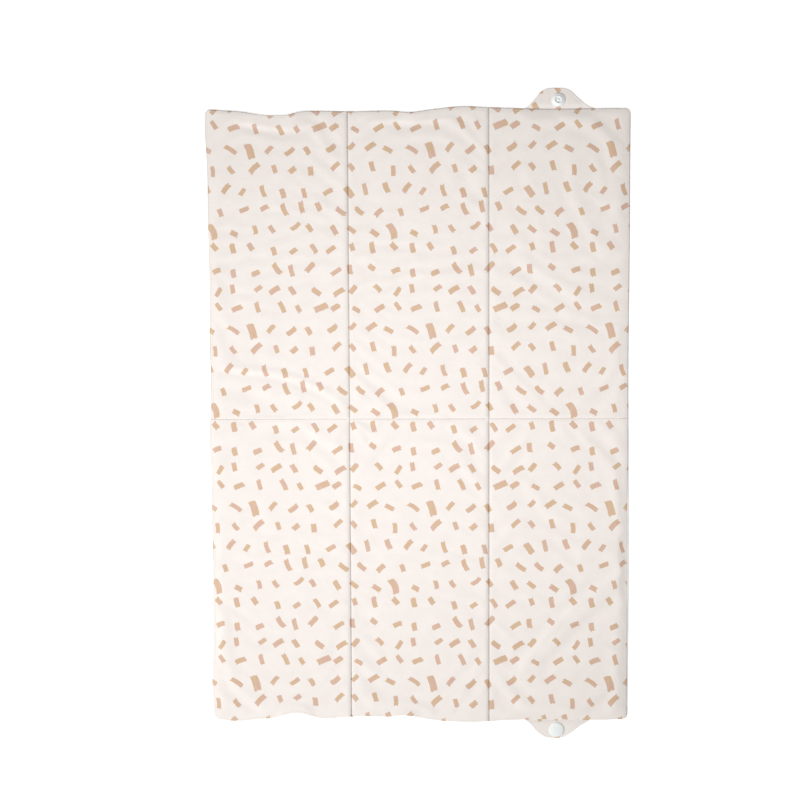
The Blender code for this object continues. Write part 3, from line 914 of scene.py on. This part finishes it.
def thread_material():
    """Spun thread: fine slanting plies."""
    nodes = Nodes("thread_fine")
    place = nodes.millimetres(nodes.object_place())
    x, y, z = nodes.split(place)
    plies = nodes.math("SINE", (x + y + z * 2.0) * (2 * math.pi / THREAD_TWIST_MM))
    fuzz = nodes.noise(place, 6.0, 3.0)
    height = plies * 0.5 + fuzz
    # Colour: painted shade, darker in the grooves between the plies, and a random tone from the fuzz.
    colour = nodes.mix(nodes.ramp(height, -0.4, 1.4), THREAD_SHADE, THREAD_IVORY)
    nodes.set(Base_Color=colour, Sheen_Weight=0.25,
              Normal=nodes.bump(height, 0.03 * MM, 0.8), Specular_IOR_Level=0.4,
              Roughness=nodes.spread(fuzz, 0.5, 0.62))
    return nodes.material


def snap_plastic():
    """Moulded white acetal, very slightly cool, with a faint moulding grain."""
    nodes = Nodes("snap_plastic_fine")
    place = nodes.millimetres(nodes.object_place())
    grain = nodes.noise(place, 5.0, 3.0)
    nodes.set(Base_Color=nodes.clouded(place, 0.25, 2.0, SNAP_SHADE, SNAP_WHITE),
              Normal=nodes.bump(grain, 0.01 * MM, 0.5), Roughness=nodes.spread(grain, 0.27, 0.36))
    nodes.set(Coat_Weight=0.2, Coat_Roughness=0.2, Subsurface_Weight=0.06, Subsurface_Scale=0.002)
    return nodes.material


printed = printed_fabric()
plain = back_fabric()
wadding_fibre = felt("wadding_fine", WADDING_COLOURS, 2.2, 0.5 * MM)
interlining_felt = felt("interlining_fine", INTERLINING_COLOURS, 4.0, 0.1 * MM)
thread = thread_material()
plastic = snap_plastic()

# ---------------------------------------------------------------- puckers by cloth simulation

SIMULATION_STEP = 3.6 * MM
SIMULATION_FRAMES = 24
HELD_BESIDE_SEAM = 1.2 * MM
SEAM_SLACK_REACH = 16 * MM
CROSSING_SLACK_REACH = 34 * MM
PUCKER_SIDEWAYS = 0.80 * MM
PUCKER_DOWN = 0.30 * MM
PUCKER_UP = 0.60 * MM
PUCKER_EDGE_FADE = 9 * MM
LOOSE_HOLD = 0.05
LOOSE_HOLD_GAIN = 0.10
LOOSE_HOLD_REACH = 45 * MM
SEAM_SLACK = 0.55
CLOTH_SETTINGS = {"quality": 6, "mass": 0.12, "tension_stiffness": 22, "compression_stiffness": 22,
                  "shear_stiffness": 8, "bending_stiffness": 0.35, "air_damping": 2.0,
                  "vertex_group_mass": "held", "pin_stiffness": 1.0, "vertex_group_shrink": "slack",
                  "shrink_min": -0.001, "shrink_max": -0.015}


def even_line(low, high, step):
    return np.linspace(low, high, round((high - low) / step) + 1)


def simulate_puckers():
    """Lets slightly oversized fabric, held at the edge and on the fold seams, settle into puckers."""
    lines_u = join_lines(even_line(-HALF_WIDTH, -FOLD_X, SIMULATION_STEP),
                         even_line(-FOLD_X, FOLD_X, SIMULATION_STEP),
                         even_line(FOLD_X, HALF_WIDTH, SIMULATION_STEP))
    lines_v = join_lines(even_line(-HALF_LENGTH, 0.0, SIMULATION_STEP),
                         even_line(0.0, HALF_LENGTH, SIMULATION_STEP))
    u, v = np.meshgrid(lines_u, lines_v)
    start = np.stack([u, v, front_height(u, v)], axis=-1)
    faces = grid_faces(len(lines_v), len(lines_u), 0, False)
    sheet = mesh_object("puckering_sheet", start.reshape(-1, 3), faces.tolist(), printed)
    beside_fold, beside_cross = fold_distances(u, v)
    seam = np.minimum(np.minimum(beside_fold, beside_cross), edge_distance(u, v))
    loose = LOOSE_HOLD + LOOSE_HOLD_GAIN * smoothstep(seam / LOOSE_HOLD_REACH)
    held = np.where(seam < HELD_BESIDE_SEAM, 1.0, loose)
    slack = np.exp(-seam / SEAM_SLACK_REACH)
    corner = np.sqrt((u + FOLD_X) ** 2 + v ** 2)
    slack = np.maximum(slack * SEAM_SLACK, np.exp(-corner / CROSSING_SLACK_REACH))
    for name, weights in (("held", held), ("slack", slack)):
        group = sheet.vertex_groups.new(name=name)
        for index, weight in enumerate(weights.ravel().tolist()):
            group.add([index], weight, "REPLACE")
    cloth = sheet.modifiers.new("cloth", "CLOTH")
    for setting, value in CLOTH_SETTINGS.items():
        setattr(cloth.settings, setting, value)
    cloth.settings.effector_weights.gravity = 0.0
    cloth.collision_settings.use_collision = False
    cloth.collision_settings.use_self_collision = False
    cloth.point_cache.frame_start = 1
    cloth.point_cache.frame_end = SIMULATION_FRAMES
    scene = bpy.context.scene
    for step in range(1, SIMULATION_FRAMES + 1):
        scene.frame_set(step)
    evaluated = sheet.evaluated_get(bpy.context.evaluated_depsgraph_get())
    moved = np.zeros(start.size, np.float32)
    evaluated.data.vertices.foreach_get("co", moved)
    bpy.data.objects.remove(sheet)
    scene.frame_set(1)
    shift = moved.reshape(start.shape) - start
    shift[..., :2] = np.clip(shift[..., :2], -PUCKER_SIDEWAYS, PUCKER_SIDEWAYS)
    shift[..., 2] = np.clip(shift[..., 2], -PUCKER_DOWN, PUCKER_UP)
    inner = smoothstep((edge_distance(u, v) - STITCH_INSET) / PUCKER_EDGE_FADE)
    return lines_u, lines_v, shift * inner[..., None]


# ---------------------------------------------------------------- covers and wadding

def across_slices(lines):
    """Index ranges of the left, middle and right pieces between the cut lines beside the folds."""
    cuts = [np.argmin(np.abs(lines - side * (FOLD_X - CUT_BESIDE_FOLD))) for side in (-1, 1)]
    return {"left": slice(0, cuts[0] + 1), "middle": slice(cuts[0], cuts[1] + 1),
            "right": slice(cuts[1], len(lines))}


def along_slices(lines):
    middle = np.argmin(np.abs(lines))
    return {"lower": slice(0, middle + 1), "upper": slice(middle, len(lines))}


def attach(piece, column, row):
    """Rides on the middle panel; a side piece only has its transform baked into its mesh."""
    middle = f"middle_{row}_panel"
    if column == "middle":
        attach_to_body(piece, middle)
        return
    side = COLUMNS[column]
    start = (side * (FOLD_X - CUT_BESIDE_FOLD), 0.0, 0.0)
    end = (side * (FOLD_X + CUT_BESIDE_FOLD), 0.0, 0.0)
    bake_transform(piece)


def thickness_of(front, back):
    """Fabric thickness, thinner where the two covers are pinched together in a seam."""
    return np.minimum(PLY, PINCHED_SHARE * np.linalg.norm(front - back, axis=-1))[..., None]


def make_covers(lines_u, lines_v, front, back):
    u, v = np.meshgrid(lines_u, lines_v)
    flat = np.stack([u, v], axis=-1)
    thick = thickness_of(front, back)
    front_inner = front - surface_normals(front) * thick
    back_inner = back + surface_normals(back) * thick
    kinds = (("front_cover", front, front_inner, printed, "printed_fabric"),
             ("back_cover", back, back_inner, plain, "back_fabric"))
    for column, across in across_slices(lines_u).items():
        for row, along in along_slices(lines_v).items():
            cut_width = lines_u[across][-1] - lines_u[across][0]
            wadding_name = f"{column}_{row}_wadding"
            make_wadding(wadding_name, column, row)
            for kind, outer, inner, material, slot in kinds:
                grids = [grid[along, across] for grid in (outer, inner, flat)]
                piece = shell(f"{column}_{row}_{kind}", *grids, material)
                attach(piece, column, row)
                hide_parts(f"{kind}_{column}_{row}")
                rests_on = [wadding_name] if kind == "front_cover" else ["floor"]


WADDING_SEAM_INSET = 7.0 * MM
WADDING_EDGE_INSET = 5.0 * MM
WADDING_STEP = 3.0 * MM
WADDING_PLIES = 2.2


def make_wadding(name, column, row):
    """Slab of wadding inside a panel, hidden between its covers."""
    side = COLUMNS[column]
    if side == 0:
        low, high = -FOLD_X + WADDING_SEAM_INSET, FOLD_X - WADDING_SEAM_INSET
    else:
        low, high = sorted((side * (FOLD_X + WADDING_SEAM_INSET), side * (HALF_WIDTH - WADDING_EDGE_INSET)))
    y_ends = sorted((ROWS[row] * WADDING_SEAM_INSET, ROWS[row] * (HALF_LENGTH - WADDING_EDGE_INSET)))
    u, v = np.meshgrid(even_line(low, high, WADDING_STEP), even_line(*y_ends, WADDING_STEP))
    under_cover = np.array([0.0, 0.0, WADDING_PLIES * PLY])
    top = front_surface(u, v) - under_cover
    bottom = back_surface(u, v) + under_cover
    piece = shell(name, top, bottom, np.stack([u, v], axis=-1), wadding_fibre)
    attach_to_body(piece, f"{column}_{row}_panel")
    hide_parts(f"wadding_{column}_{row}")


# ---------------------------------------------------------------- stitches

CROSS_STITCH_OFFSET = 0.5 * MM
STITCH_LENGTH = 2.9 * MM
STITCH_GAP = 0.55 * MM
STITCH_RADIUS = 0.19 * MM
STITCH_ARCH = 1.15
STITCH_SUNK = 0.75
STITCH_END = 0.55
STITCH_BELLY = 0.45
STITCH_SIDES = 6
STITCH_RINGS = 5
SEAM_CLEARANCE = 1.6 * MM


def stitch_mesh(name, lines):
    """Rows of stitches. Each line is a function from a share of its length to points, and its length."""
    ring_share = np.linspace(0.0, 1.0, STITCH_RINGS)
    vertices = []
    faces = []
    for place, length in lines:
        count = max(1, round(length / (STITCH_LENGTH + STITCH_GAP)))
        pitch = 1.0 / count
        taken = pitch * STITCH_LENGTH / (STITCH_LENGTH + STITCH_GAP)
        for stitch in range(count):
            share = stitch * pitch + (pitch - taken) / 2 + taken * ring_share
            centre = place(share)
            centre[:, 2] += STITCH_RADIUS * (STITCH_ARCH * np.sin(math.pi * ring_share) - STITCH_SUNK)
            heading = np.gradient(centre, axis=0)
            heading /= np.linalg.norm(heading, axis=1, keepdims=True)
            side = np.cross(heading, (0.0, 0.0, 1.0))
            side /= np.linalg.norm(side, axis=1, keepdims=True)
            up = np.cross(side, heading)
            radius = STITCH_RADIUS * (STITCH_END + STITCH_BELLY * np.sin(math.pi * ring_share))
            first = len(vertices)
            for ring in range(STITCH_RINGS):
                for corner in range(STITCH_SIDES):
                    angle = 2 * math.pi * corner / STITCH_SIDES
                    offset = math.cos(angle) * side[ring] + math.sin(angle) * up[ring]
                    vertices.append(centre[ring] + radius[ring] * offset)
            faces.extend(stitch_faces(first))
    return mesh_object(name, vertices, faces, thread)


def stitch_faces(first):
    faces = [[first + corner for corner in range(STITCH_SIDES)]]
    for ring in range(STITCH_RINGS - 1):
        low = first + ring * STITCH_SIDES
        for corner in range(STITCH_SIDES):
            after = (corner + 1) % STITCH_SIDES
            high = low + STITCH_SIDES
            faces.append([low + corner, high + corner, high + after, low + after])
    last = first + (STITCH_RINGS - 1) * STITCH_SIDES
    faces.append([last + corner for corner in reversed(range(STITCH_SIDES))])
    return faces


def surface_line(start, end):
    """Straight line on the flat fabric, laid on the front surface, and its length."""
    start = np.array(start)
    end = np.array(end)

    def place(share):
        flat = start + (end - start) * share[:, None]
        return front_surface(flat[:, 0], flat[:, 1])

    return place, float(np.linalg.norm(end - start))


def finish_stitches(node):
    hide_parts(node)


def make_stitches():
    edge_x = HALF_WIDTH - STITCH_INSET
    edge_y = HALF_LENGTH - STITCH_INSET
    for row, row_side in ROWS.items():
        for column, side in COLUMNS.items():
            y = row_side * edge_y
            if side == 0:
                lines = [surface_line((-FOLD_X + SEAM_CLEARANCE, y), (FOLD_X - SEAM_CLEARANCE, y))]
                lower_line = surface_line((-FOLD_X + SEAM_CLEARANCE, -CROSS_STITCH_OFFSET),
                                          (FOLD_X - SEAM_CLEARANCE, -CROSS_STITCH_OFFSET))
            else:
                beside = side * (FOLD_X + CUT_BESIDE_FOLD)
                lines = [surface_line((beside, y), (side * edge_x, y)),
                         surface_line((side * edge_x, y), (side * edge_x, row_side * SEAM_CLEARANCE))]
                lower_line = surface_line((beside, -CROSS_STITCH_OFFSET),
                                          (side * (edge_x - SEAM_CLEARANCE), -CROSS_STITCH_OFFSET))
            piece = stitch_mesh(f"{column}_{row}_edge_stitches", lines)
            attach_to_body(piece, f"{column}_{row}_panel")
            finish_stitches(f"edge_thread_{column}_{row}")
            if row == "lower":
                piece = stitch_mesh(f"{column}_cross_fold_stitches", [lower_line])
                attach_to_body(piece, f"{column}_lower_panel")
                finish_stitches(f"fold_thread_cross_{column}")
        for column in ("left", "right"):
            x = COLUMNS[column] * FOLD_X
            line = surface_line((x, row_side * SEAM_CLEARANCE), (x, row_side * edge_y))
            piece = stitch_mesh(f"{column}_{row}_fold_stitches", [line])
            attach(piece, column, row)
            finish_stitches(f"fold_thread_{column}_{row}")


# ---------------------------------------------------------------- tabs

# Outline of each tab, in mm: across from the snap's middle, and out from the mat's edge.
TAB_OUTLINES = {
    "upper": ((-38, 0.0), (-33, 0.9), (-29, 3.3), (-25, 7.6), (-20.2, 13.2), (-16.3, 17.2), (-12.4, 19.2),
              (-7.5, 20.0), (2.4, 20.0), (7.3, 19.4), (12.2, 17.2), (17.1, 12.7), (22, 8.2), (26.9, 4.3),
              (31.8, 1.7), (38, 0.0)),
    "lower": ((-37, 0.0), (-33, 0.8), (-28.4, 3.6), (-25.5, 6.4), (-19.6, 13.0), (-12.8, 17.9),
              (-7.8, 19.3), (-2, 19.6), (5.9, 18.9), (11.8, 15.6), (19.6, 9.6), (25.5, 5.6),
              (30.4, 3.0), (34, 1.3), (38, 0.0)),
}
TAB_PRINT_SHIFT = (248.1, 41.2)
TAB_HALF = 0.48 * MM
TAB_EDGE_HALF = 0.16 * MM
TAB_TURN = 1.3 * MM
TAB_ROOT = 1.2 * MM
TAB_RISE = 7.0 * MM
TAB_STITCH_INSET = 2.2 * MM
TAB_ROWS = 46
TAB_ROW_POWER = 1.6
TAB_FINE = 0.25 * MM
TAB_COARSE = 0.60 * MM
TAB_GRADED_REACH = 6 * MM
TAB_RIPPLE = 0.15 * MM
TAB_RIPPLE_LENGTH = 9 * MM
TAB_RIPPLE_FADE = 12 * MM
INTERLINING_SHARE = 0.25
PLY_GAP = 1.1
SNAP_SEAT_SHARE = 0.98
SNAP_STACK = 0.575 * MM
SNAP_FLAT_RADIUS = 9.5 * MM
SNAP_FLAT_FADE = 3.0 * MM
SNAP_DIP = 0.22 * MM
SNAP_DIP_RADIUS = 7.5 * MM
SNAP_DIP_WIDTH = 0.9 * MM


def tab_outline(row, across):
    """Reach of the tab's outline beyond the mat's edge, smoothed by a spline through its points."""
    points = np.array(smooth_path(TAB_OUTLINES[row], steps=8)) * MM
    return np.interp(across, points[:, 0], np.maximum(points[:, 1], 0.0), left=0.0, right=0.0)


def tab_grids(row, snap_height):
    """A tab's flat coordinates, the height of its middle and half its thickness, out from the edge."""
    side = ROWS[row]
    outline = TAB_OUTLINES[row]
    ends = (outline[0][0] * MM, outline[-1][0] * MM)
    across = graded_line(*ends, TAB_FINE, TAB_COARSE, TAB_GRADED_REACH)
    reach = tab_outline(row, across)
    share = 1.0 - (1.0 - np.linspace(0.0, 1.0, TAB_ROWS)) ** TAB_ROW_POWER
    across_grid, share_grid = np.meshgrid(across, share)
    out = -TAB_ROOT + share_grid * (reach[None, :] + TAB_ROOT)
    slope = np.gradient(reach, across)
    from_outline = (reach[None, :] - out) / np.sqrt(1.0 + slope[None, :] ** 2)
    rise = smoothstep((out + TAB_ROOT) / TAB_RISE)
    ripple = TAB_RIPPLE * np.sin(across_grid / TAB_RIPPLE_LENGTH + side) * smoothstep(out / TAB_RIPPLE_FADE)
    middle = EDGE_MIDDLE + (snap_height - EDGE_MIDDLE) * rise + ripple
    turn = np.clip(from_outline / TAB_TURN, 0.0, 1.0)
    half = TAB_EDGE_HALF + (TAB_HALF - TAB_EDGE_HALF) * np.sqrt(1.0 - (1.0 - turn) ** 2)
    half = half - GROOVE_DEPTH * bump(from_outline - TAB_STITCH_INSET, GROOVE_WIDTH)
    snap_out = abs(snap_place(row)[1]) - HALF_LENGTH
    from_snap = np.sqrt(across_grid ** 2 + (out - snap_out) ** 2)
    level = smoothstep((SNAP_FLAT_RADIUS - from_snap) / SNAP_FLAT_FADE)
    middle = middle * (1.0 - level) + snap_height * level
    half = half * (1.0 - level) + SNAP_SEAT_SHARE * SNAP_STACK * level
    half = half - SNAP_DIP * bump(from_snap - SNAP_DIP_RADIUS, SNAP_DIP_WIDTH)
    flat = np.stack([TAB_X + across_grid, side * (HALF_LENGTH + out)], axis=-1)
    return flat, middle, half


def snap_place(row):
    low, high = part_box("snap_socket" if row == "upper" else "snap_stud")
    return (low.x + high.x) / 2, (low.y + high.y) / 2


def tab_level(row):
    """Height of the tab's middle at its snap."""
    if row == "upper":
        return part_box("snap_socket")[0].z - SNAP_STACK
    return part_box("snap_stud")[1].z + SNAP_STACK


def make_tab(row):
    side = ROWS[row]
    flat, middle, half = tab_grids(row, tab_level(row))
    across = flat[0, :, 0]

    def layer(height):
        grid = np.concatenate([flat, height[..., None]], axis=-1)
        return grid if side > 0 else grid[::-1]

    turned = flat if side > 0 else flat[::-1]
    print_shift = np.array([TAB_PRINT_SHIFT[0], TAB_PRINT_SHIFT[1] * side]) * MM
    core = INTERLINING_SHARE * half
    ply_inside = PLY_GAP * core
    layers = (("tab_interlining", middle + core, middle - core, interlining_felt, "interlining"),
              ("tab_front_ply", middle + half, middle + ply_inside, printed, "printed_fabric"),
              ("tab_back_ply", middle - half, middle - ply_inside, plain, "back_fabric"))
    area = float(np.trapz(tab_outline(row, across - TAB_X) + TAB_ROOT, across))
    size = (across[-1] - across[0], TAB_ROOT + tab_outline(row, across - TAB_X).max())
    for layer_name, outer, inner, material, slot in layers:
        piece = shell(f"{row}_{layer_name}", layer(outer), layer(inner), turned + print_shift, material)
        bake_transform(piece)
        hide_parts(f"{layer_name}_{row}")


# ---------------------------------------------------------------- snaps

SNAP_SEGMENTS = 96
SNAP_SHARP_ANGLE = math.radians(50)
POST_HEAD_HEIGHT = 0.65
CAP_DOME_STEPS = 14


def turned(name, profile, centre, up):
    """Turned piece from a profile in mm that starts and ends on the axis; up is 1 or -1."""
    points = np.array(profile) * MM
    angles = np.linspace(0.0, 2 * math.pi, SNAP_SEGMENTS, endpoint=False)
    rings = points[1:-1]
    vertices = [(centre[0], centre[1], centre[2] + up * points[0][1])]
    for radius, height in rings:
        for angle in angles:
            x = centre[0] + radius * math.cos(angle)
            y = centre[1] + up * radius * math.sin(angle)
            vertices.append((x, y, centre[2] + up * height))
    vertices.append((centre[0], centre[1], centre[2] + up * points[-1][1]))
    last = len(vertices) - 1
    faces = []
    for corner in range(SNAP_SEGMENTS):
        after = (corner + 1) % SNAP_SEGMENTS
        faces.append([0, 1 + corner, 1 + after])
        for ring in range(len(rings) - 1):
            low = 1 + ring * SNAP_SEGMENTS
            high = low + SNAP_SEGMENTS
            faces.append([low + corner, high + corner, high + after, low + after])
        high = 1 + (len(rings) - 1) * SNAP_SEGMENTS
        faces.append([last, high + after, high + corner])
    piece = mesh_object(name, vertices, faces, plastic)
    piece.data.set_sharp_from_angle(angle=SNAP_SHARP_ANGLE)
    return piece


def arc(centre_r, centre_z, radius, start, end, steps=6):
    """Rounded part of a profile; angles in degrees, 0 outwards and 90 up."""
    angles = [math.radians(start + (end - start) * step / steps) for step in range(steps + 1)]
    return [(centre_r + radius * math.cos(angle), centre_z + radius * math.sin(angle)) for angle in angles]


def cap_profile(post_end):
    """Smooth shallow dome, top first, with a flat underside and its post."""
    dome = []
    for step in range(1, CAP_DOME_STEPS + 1):
        share = step / CAP_DOME_STEPS
        dome.append((6.55 * share, 0.62 + 0.48 * (1.0 - share ** 2.4)))
    rim = arc(6.72, 0.30, 0.38, 60, -45)
    post = [(6.6, 0.0), (0.95, 0.0), (0.95, post_end)]
    head = arc(1.25, post_end - 0.22, 0.3, 40, -80, 4)
    return [(0.0, 1.10)] + dome + rim + post + head + [(0.0, post_end - 0.42)]


def socket_profile():
    """Pressed ring, seen from its open side: rolled flange, raised lip and round cavity."""
    cavity = [(0.0, 0.5), (2.75, 0.5), (2.9, 0.75), (2.95, 1.45)]
    lip = arc(3.35, 1.6, 0.3, 180, 60) + [(3.9, 1.82), (4.2, 1.70), (4.6, 1.25), (4.95, 1.02)]
    flange = arc(5.75, 0.60, 0.44, 95, -50)
    return cavity + lip + flange + [(5.7, 0.0), (0.0, 0.0)]


def stud_profile():
    """Plate with the hollow knob that clicks into the socket."""
    knob = [(0.0, 0.5), (1.95, 0.5), (2.0, 1.9)] + arc(2.25, 1.95, 0.25, 170, 20) + [(2.7, 1.7), (2.5, 1.0)]
    plate = [(2.9, 0.80), (5.0, 0.80)] + arc(5.75, 0.42, 0.40, 90, -50)
    return knob + plate + [(5.7, 0.0), (0.0, 0.0)]


def make_snaps():
    post_end = -2 * SNAP_STACK / MM - POST_HEAD_HEIGHT
    pieces = (("socket", "snap_socket", "upper", 1, socket_profile()),
              ("socket_cap", "snap_cap_upper", "upper", -1, cap_profile(post_end)),
              ("stud_cap", "snap_cap_lower", "lower", 1, cap_profile(post_end)),
              ("stud", "snap_stud", "lower", -1, stud_profile()))
    for name, node, row, up, profile in pieces:
        x, y = snap_place(row)
        seat = (x, y, tab_level(row) + up * SNAP_STACK)
        piece = turned(f"{row}_{name}", profile, seat, up)
        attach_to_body(piece, f"{row}_tab")
        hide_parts(node)


# ---------------------------------------------------------------- floor, light and camera

FLOOR_HALF = 4.0
FLOOR_GLOW = 0.40
FLOOR_WHITE = (0.92, 0.92, 0.92, 1.0)
FLOOR_SHADE = (0.90, 0.90, 0.90, 1.0)
SKY_COLOUR = (0.97, 0.985, 1.0, 1.0)
SKY_STRENGTH = 0.27
# Lights: name, place, point that it faces, size of its disk, power in watts.
LIGHTS = (("key", (-1.6, -1.1, 1.0), (0.0, 0.0, 0.0), 0.7, 36.9),
          ("overhead", (0.0, 0.02, 0.68), (0.0, 0.02, 0.0), 0.5, 3.11))


def floor_material():
    nodes = Nodes("floor_fine")
    mottled = nodes.clouded(nodes.object_place(), 3.0, 3.0, FLOOR_WHITE, FLOOR_SHADE)
    nodes.set(Base_Color=mottled, Roughness=0.9, Specular_IOR_Level=0.0)
    nodes.set(Emission_Color=(1.0, 1.0, 1.0, 1.0), Emission_Strength=FLOOR_GLOW)
    return nodes.material


def make_floor():
    corners = [(x * FLOOR_HALF, y * FLOOR_HALF, 0.0) for x, y in ((-1, -1), (1, -1), (1, 1), (-1, 1))]
    floor = mesh_object("floor", corners, [[0, 1, 2, 3]], floor_material(), smooth=False)


def make_area_light(name, place, target, size, power):
    light = bpy.data.lights.new(name, "AREA")
    light.shape = "DISK"
    light.size = size
    light.energy = power
    lamp = new_object(name, light)
    lamp.location = place
    lamp.rotation_euler = (Vector(target) - Vector(place)).to_track_quat("-Z", "Y").to_euler()
    lamp.visible_camera = False


def make_lights():
    world = bpy.data.worlds.new("studio")
    world.use_nodes = True
    sky = world.node_tree.nodes["Background"]
    sky.inputs["Color"].default_value = SKY_COLOUR
    sky.inputs["Strength"].default_value = SKY_STRENGTH
    bpy.context.scene.world = world
    for light in LIGHTS:
        make_area_light(*light)
    bpy.context.scene.view_settings.view_transform = "Standard"


CAMERA_TILT = math.radians(5.711)
CAMERA_SIDE = math.radians(1.593)
CAMERA_ROLL = math.radians(-0.2788)
CAMERA_DISTANCE = 2.0
CAMERA_AIM = (-0.0190, 0.0181, 0.0)
CAMERA_LENS = 91.74
CAMERA_NEAR = 0.05


def make_camera():
    """Camera above the mat, leaned a little towards its lower edge."""
    data = bpy.data.cameras.new("camera")
    data.lens = CAMERA_LENS
    data.clip_start = CAMERA_NEAR
    camera = new_object("camera", data)
    lean_x = math.sin(CAMERA_SIDE)
    lean_y = math.sin(CAMERA_TILT)
    back = Vector((lean_x, lean_y, math.sqrt(1.0 - lean_x ** 2 - lean_y ** 2)))
    level = (-back).cross(Vector((0.0, 1.0, 0.0))).normalized()
    upright = level.cross(-back)
    right = level * math.cos(CAMERA_ROLL) + upright * math.sin(CAMERA_ROLL)
    up = upright * math.cos(CAMERA_ROLL) - level * math.sin(CAMERA_ROLL)
    matrix = camera.matrix_world
    for row in range(3):
        matrix[row] = (right[row], up[row], back[row], CAMERA_AIM[row] + CAMERA_DISTANCE * back[row])
    camera.matrix_world = matrix
    bpy.context.scene.camera = camera


# ---------------------------------------------------------------- everything

# Spacing of the fabric's grid, at seams and edges and between them.
FINE_ACROSS = 0.15 * MM
FINE_ALONG = 0.24 * MM
COARSE = 1.9 * MM


def main():
    global puckers
    make_camera()
    make_lights()
    make_floor()
    puckers = simulate_puckers()
    lines_u = across_lines(FINE_ACROSS, COARSE)
    lines_v = along_lines(FINE_ALONG, COARSE)
    u, v = np.meshgrid(lines_u, lines_v)
    make_covers(lines_u, lines_v, front_surface(u, v), back_surface(u, v))
    make_stitches()
    for row in ROWS:
        make_tab(row)
    make_snaps()


main()
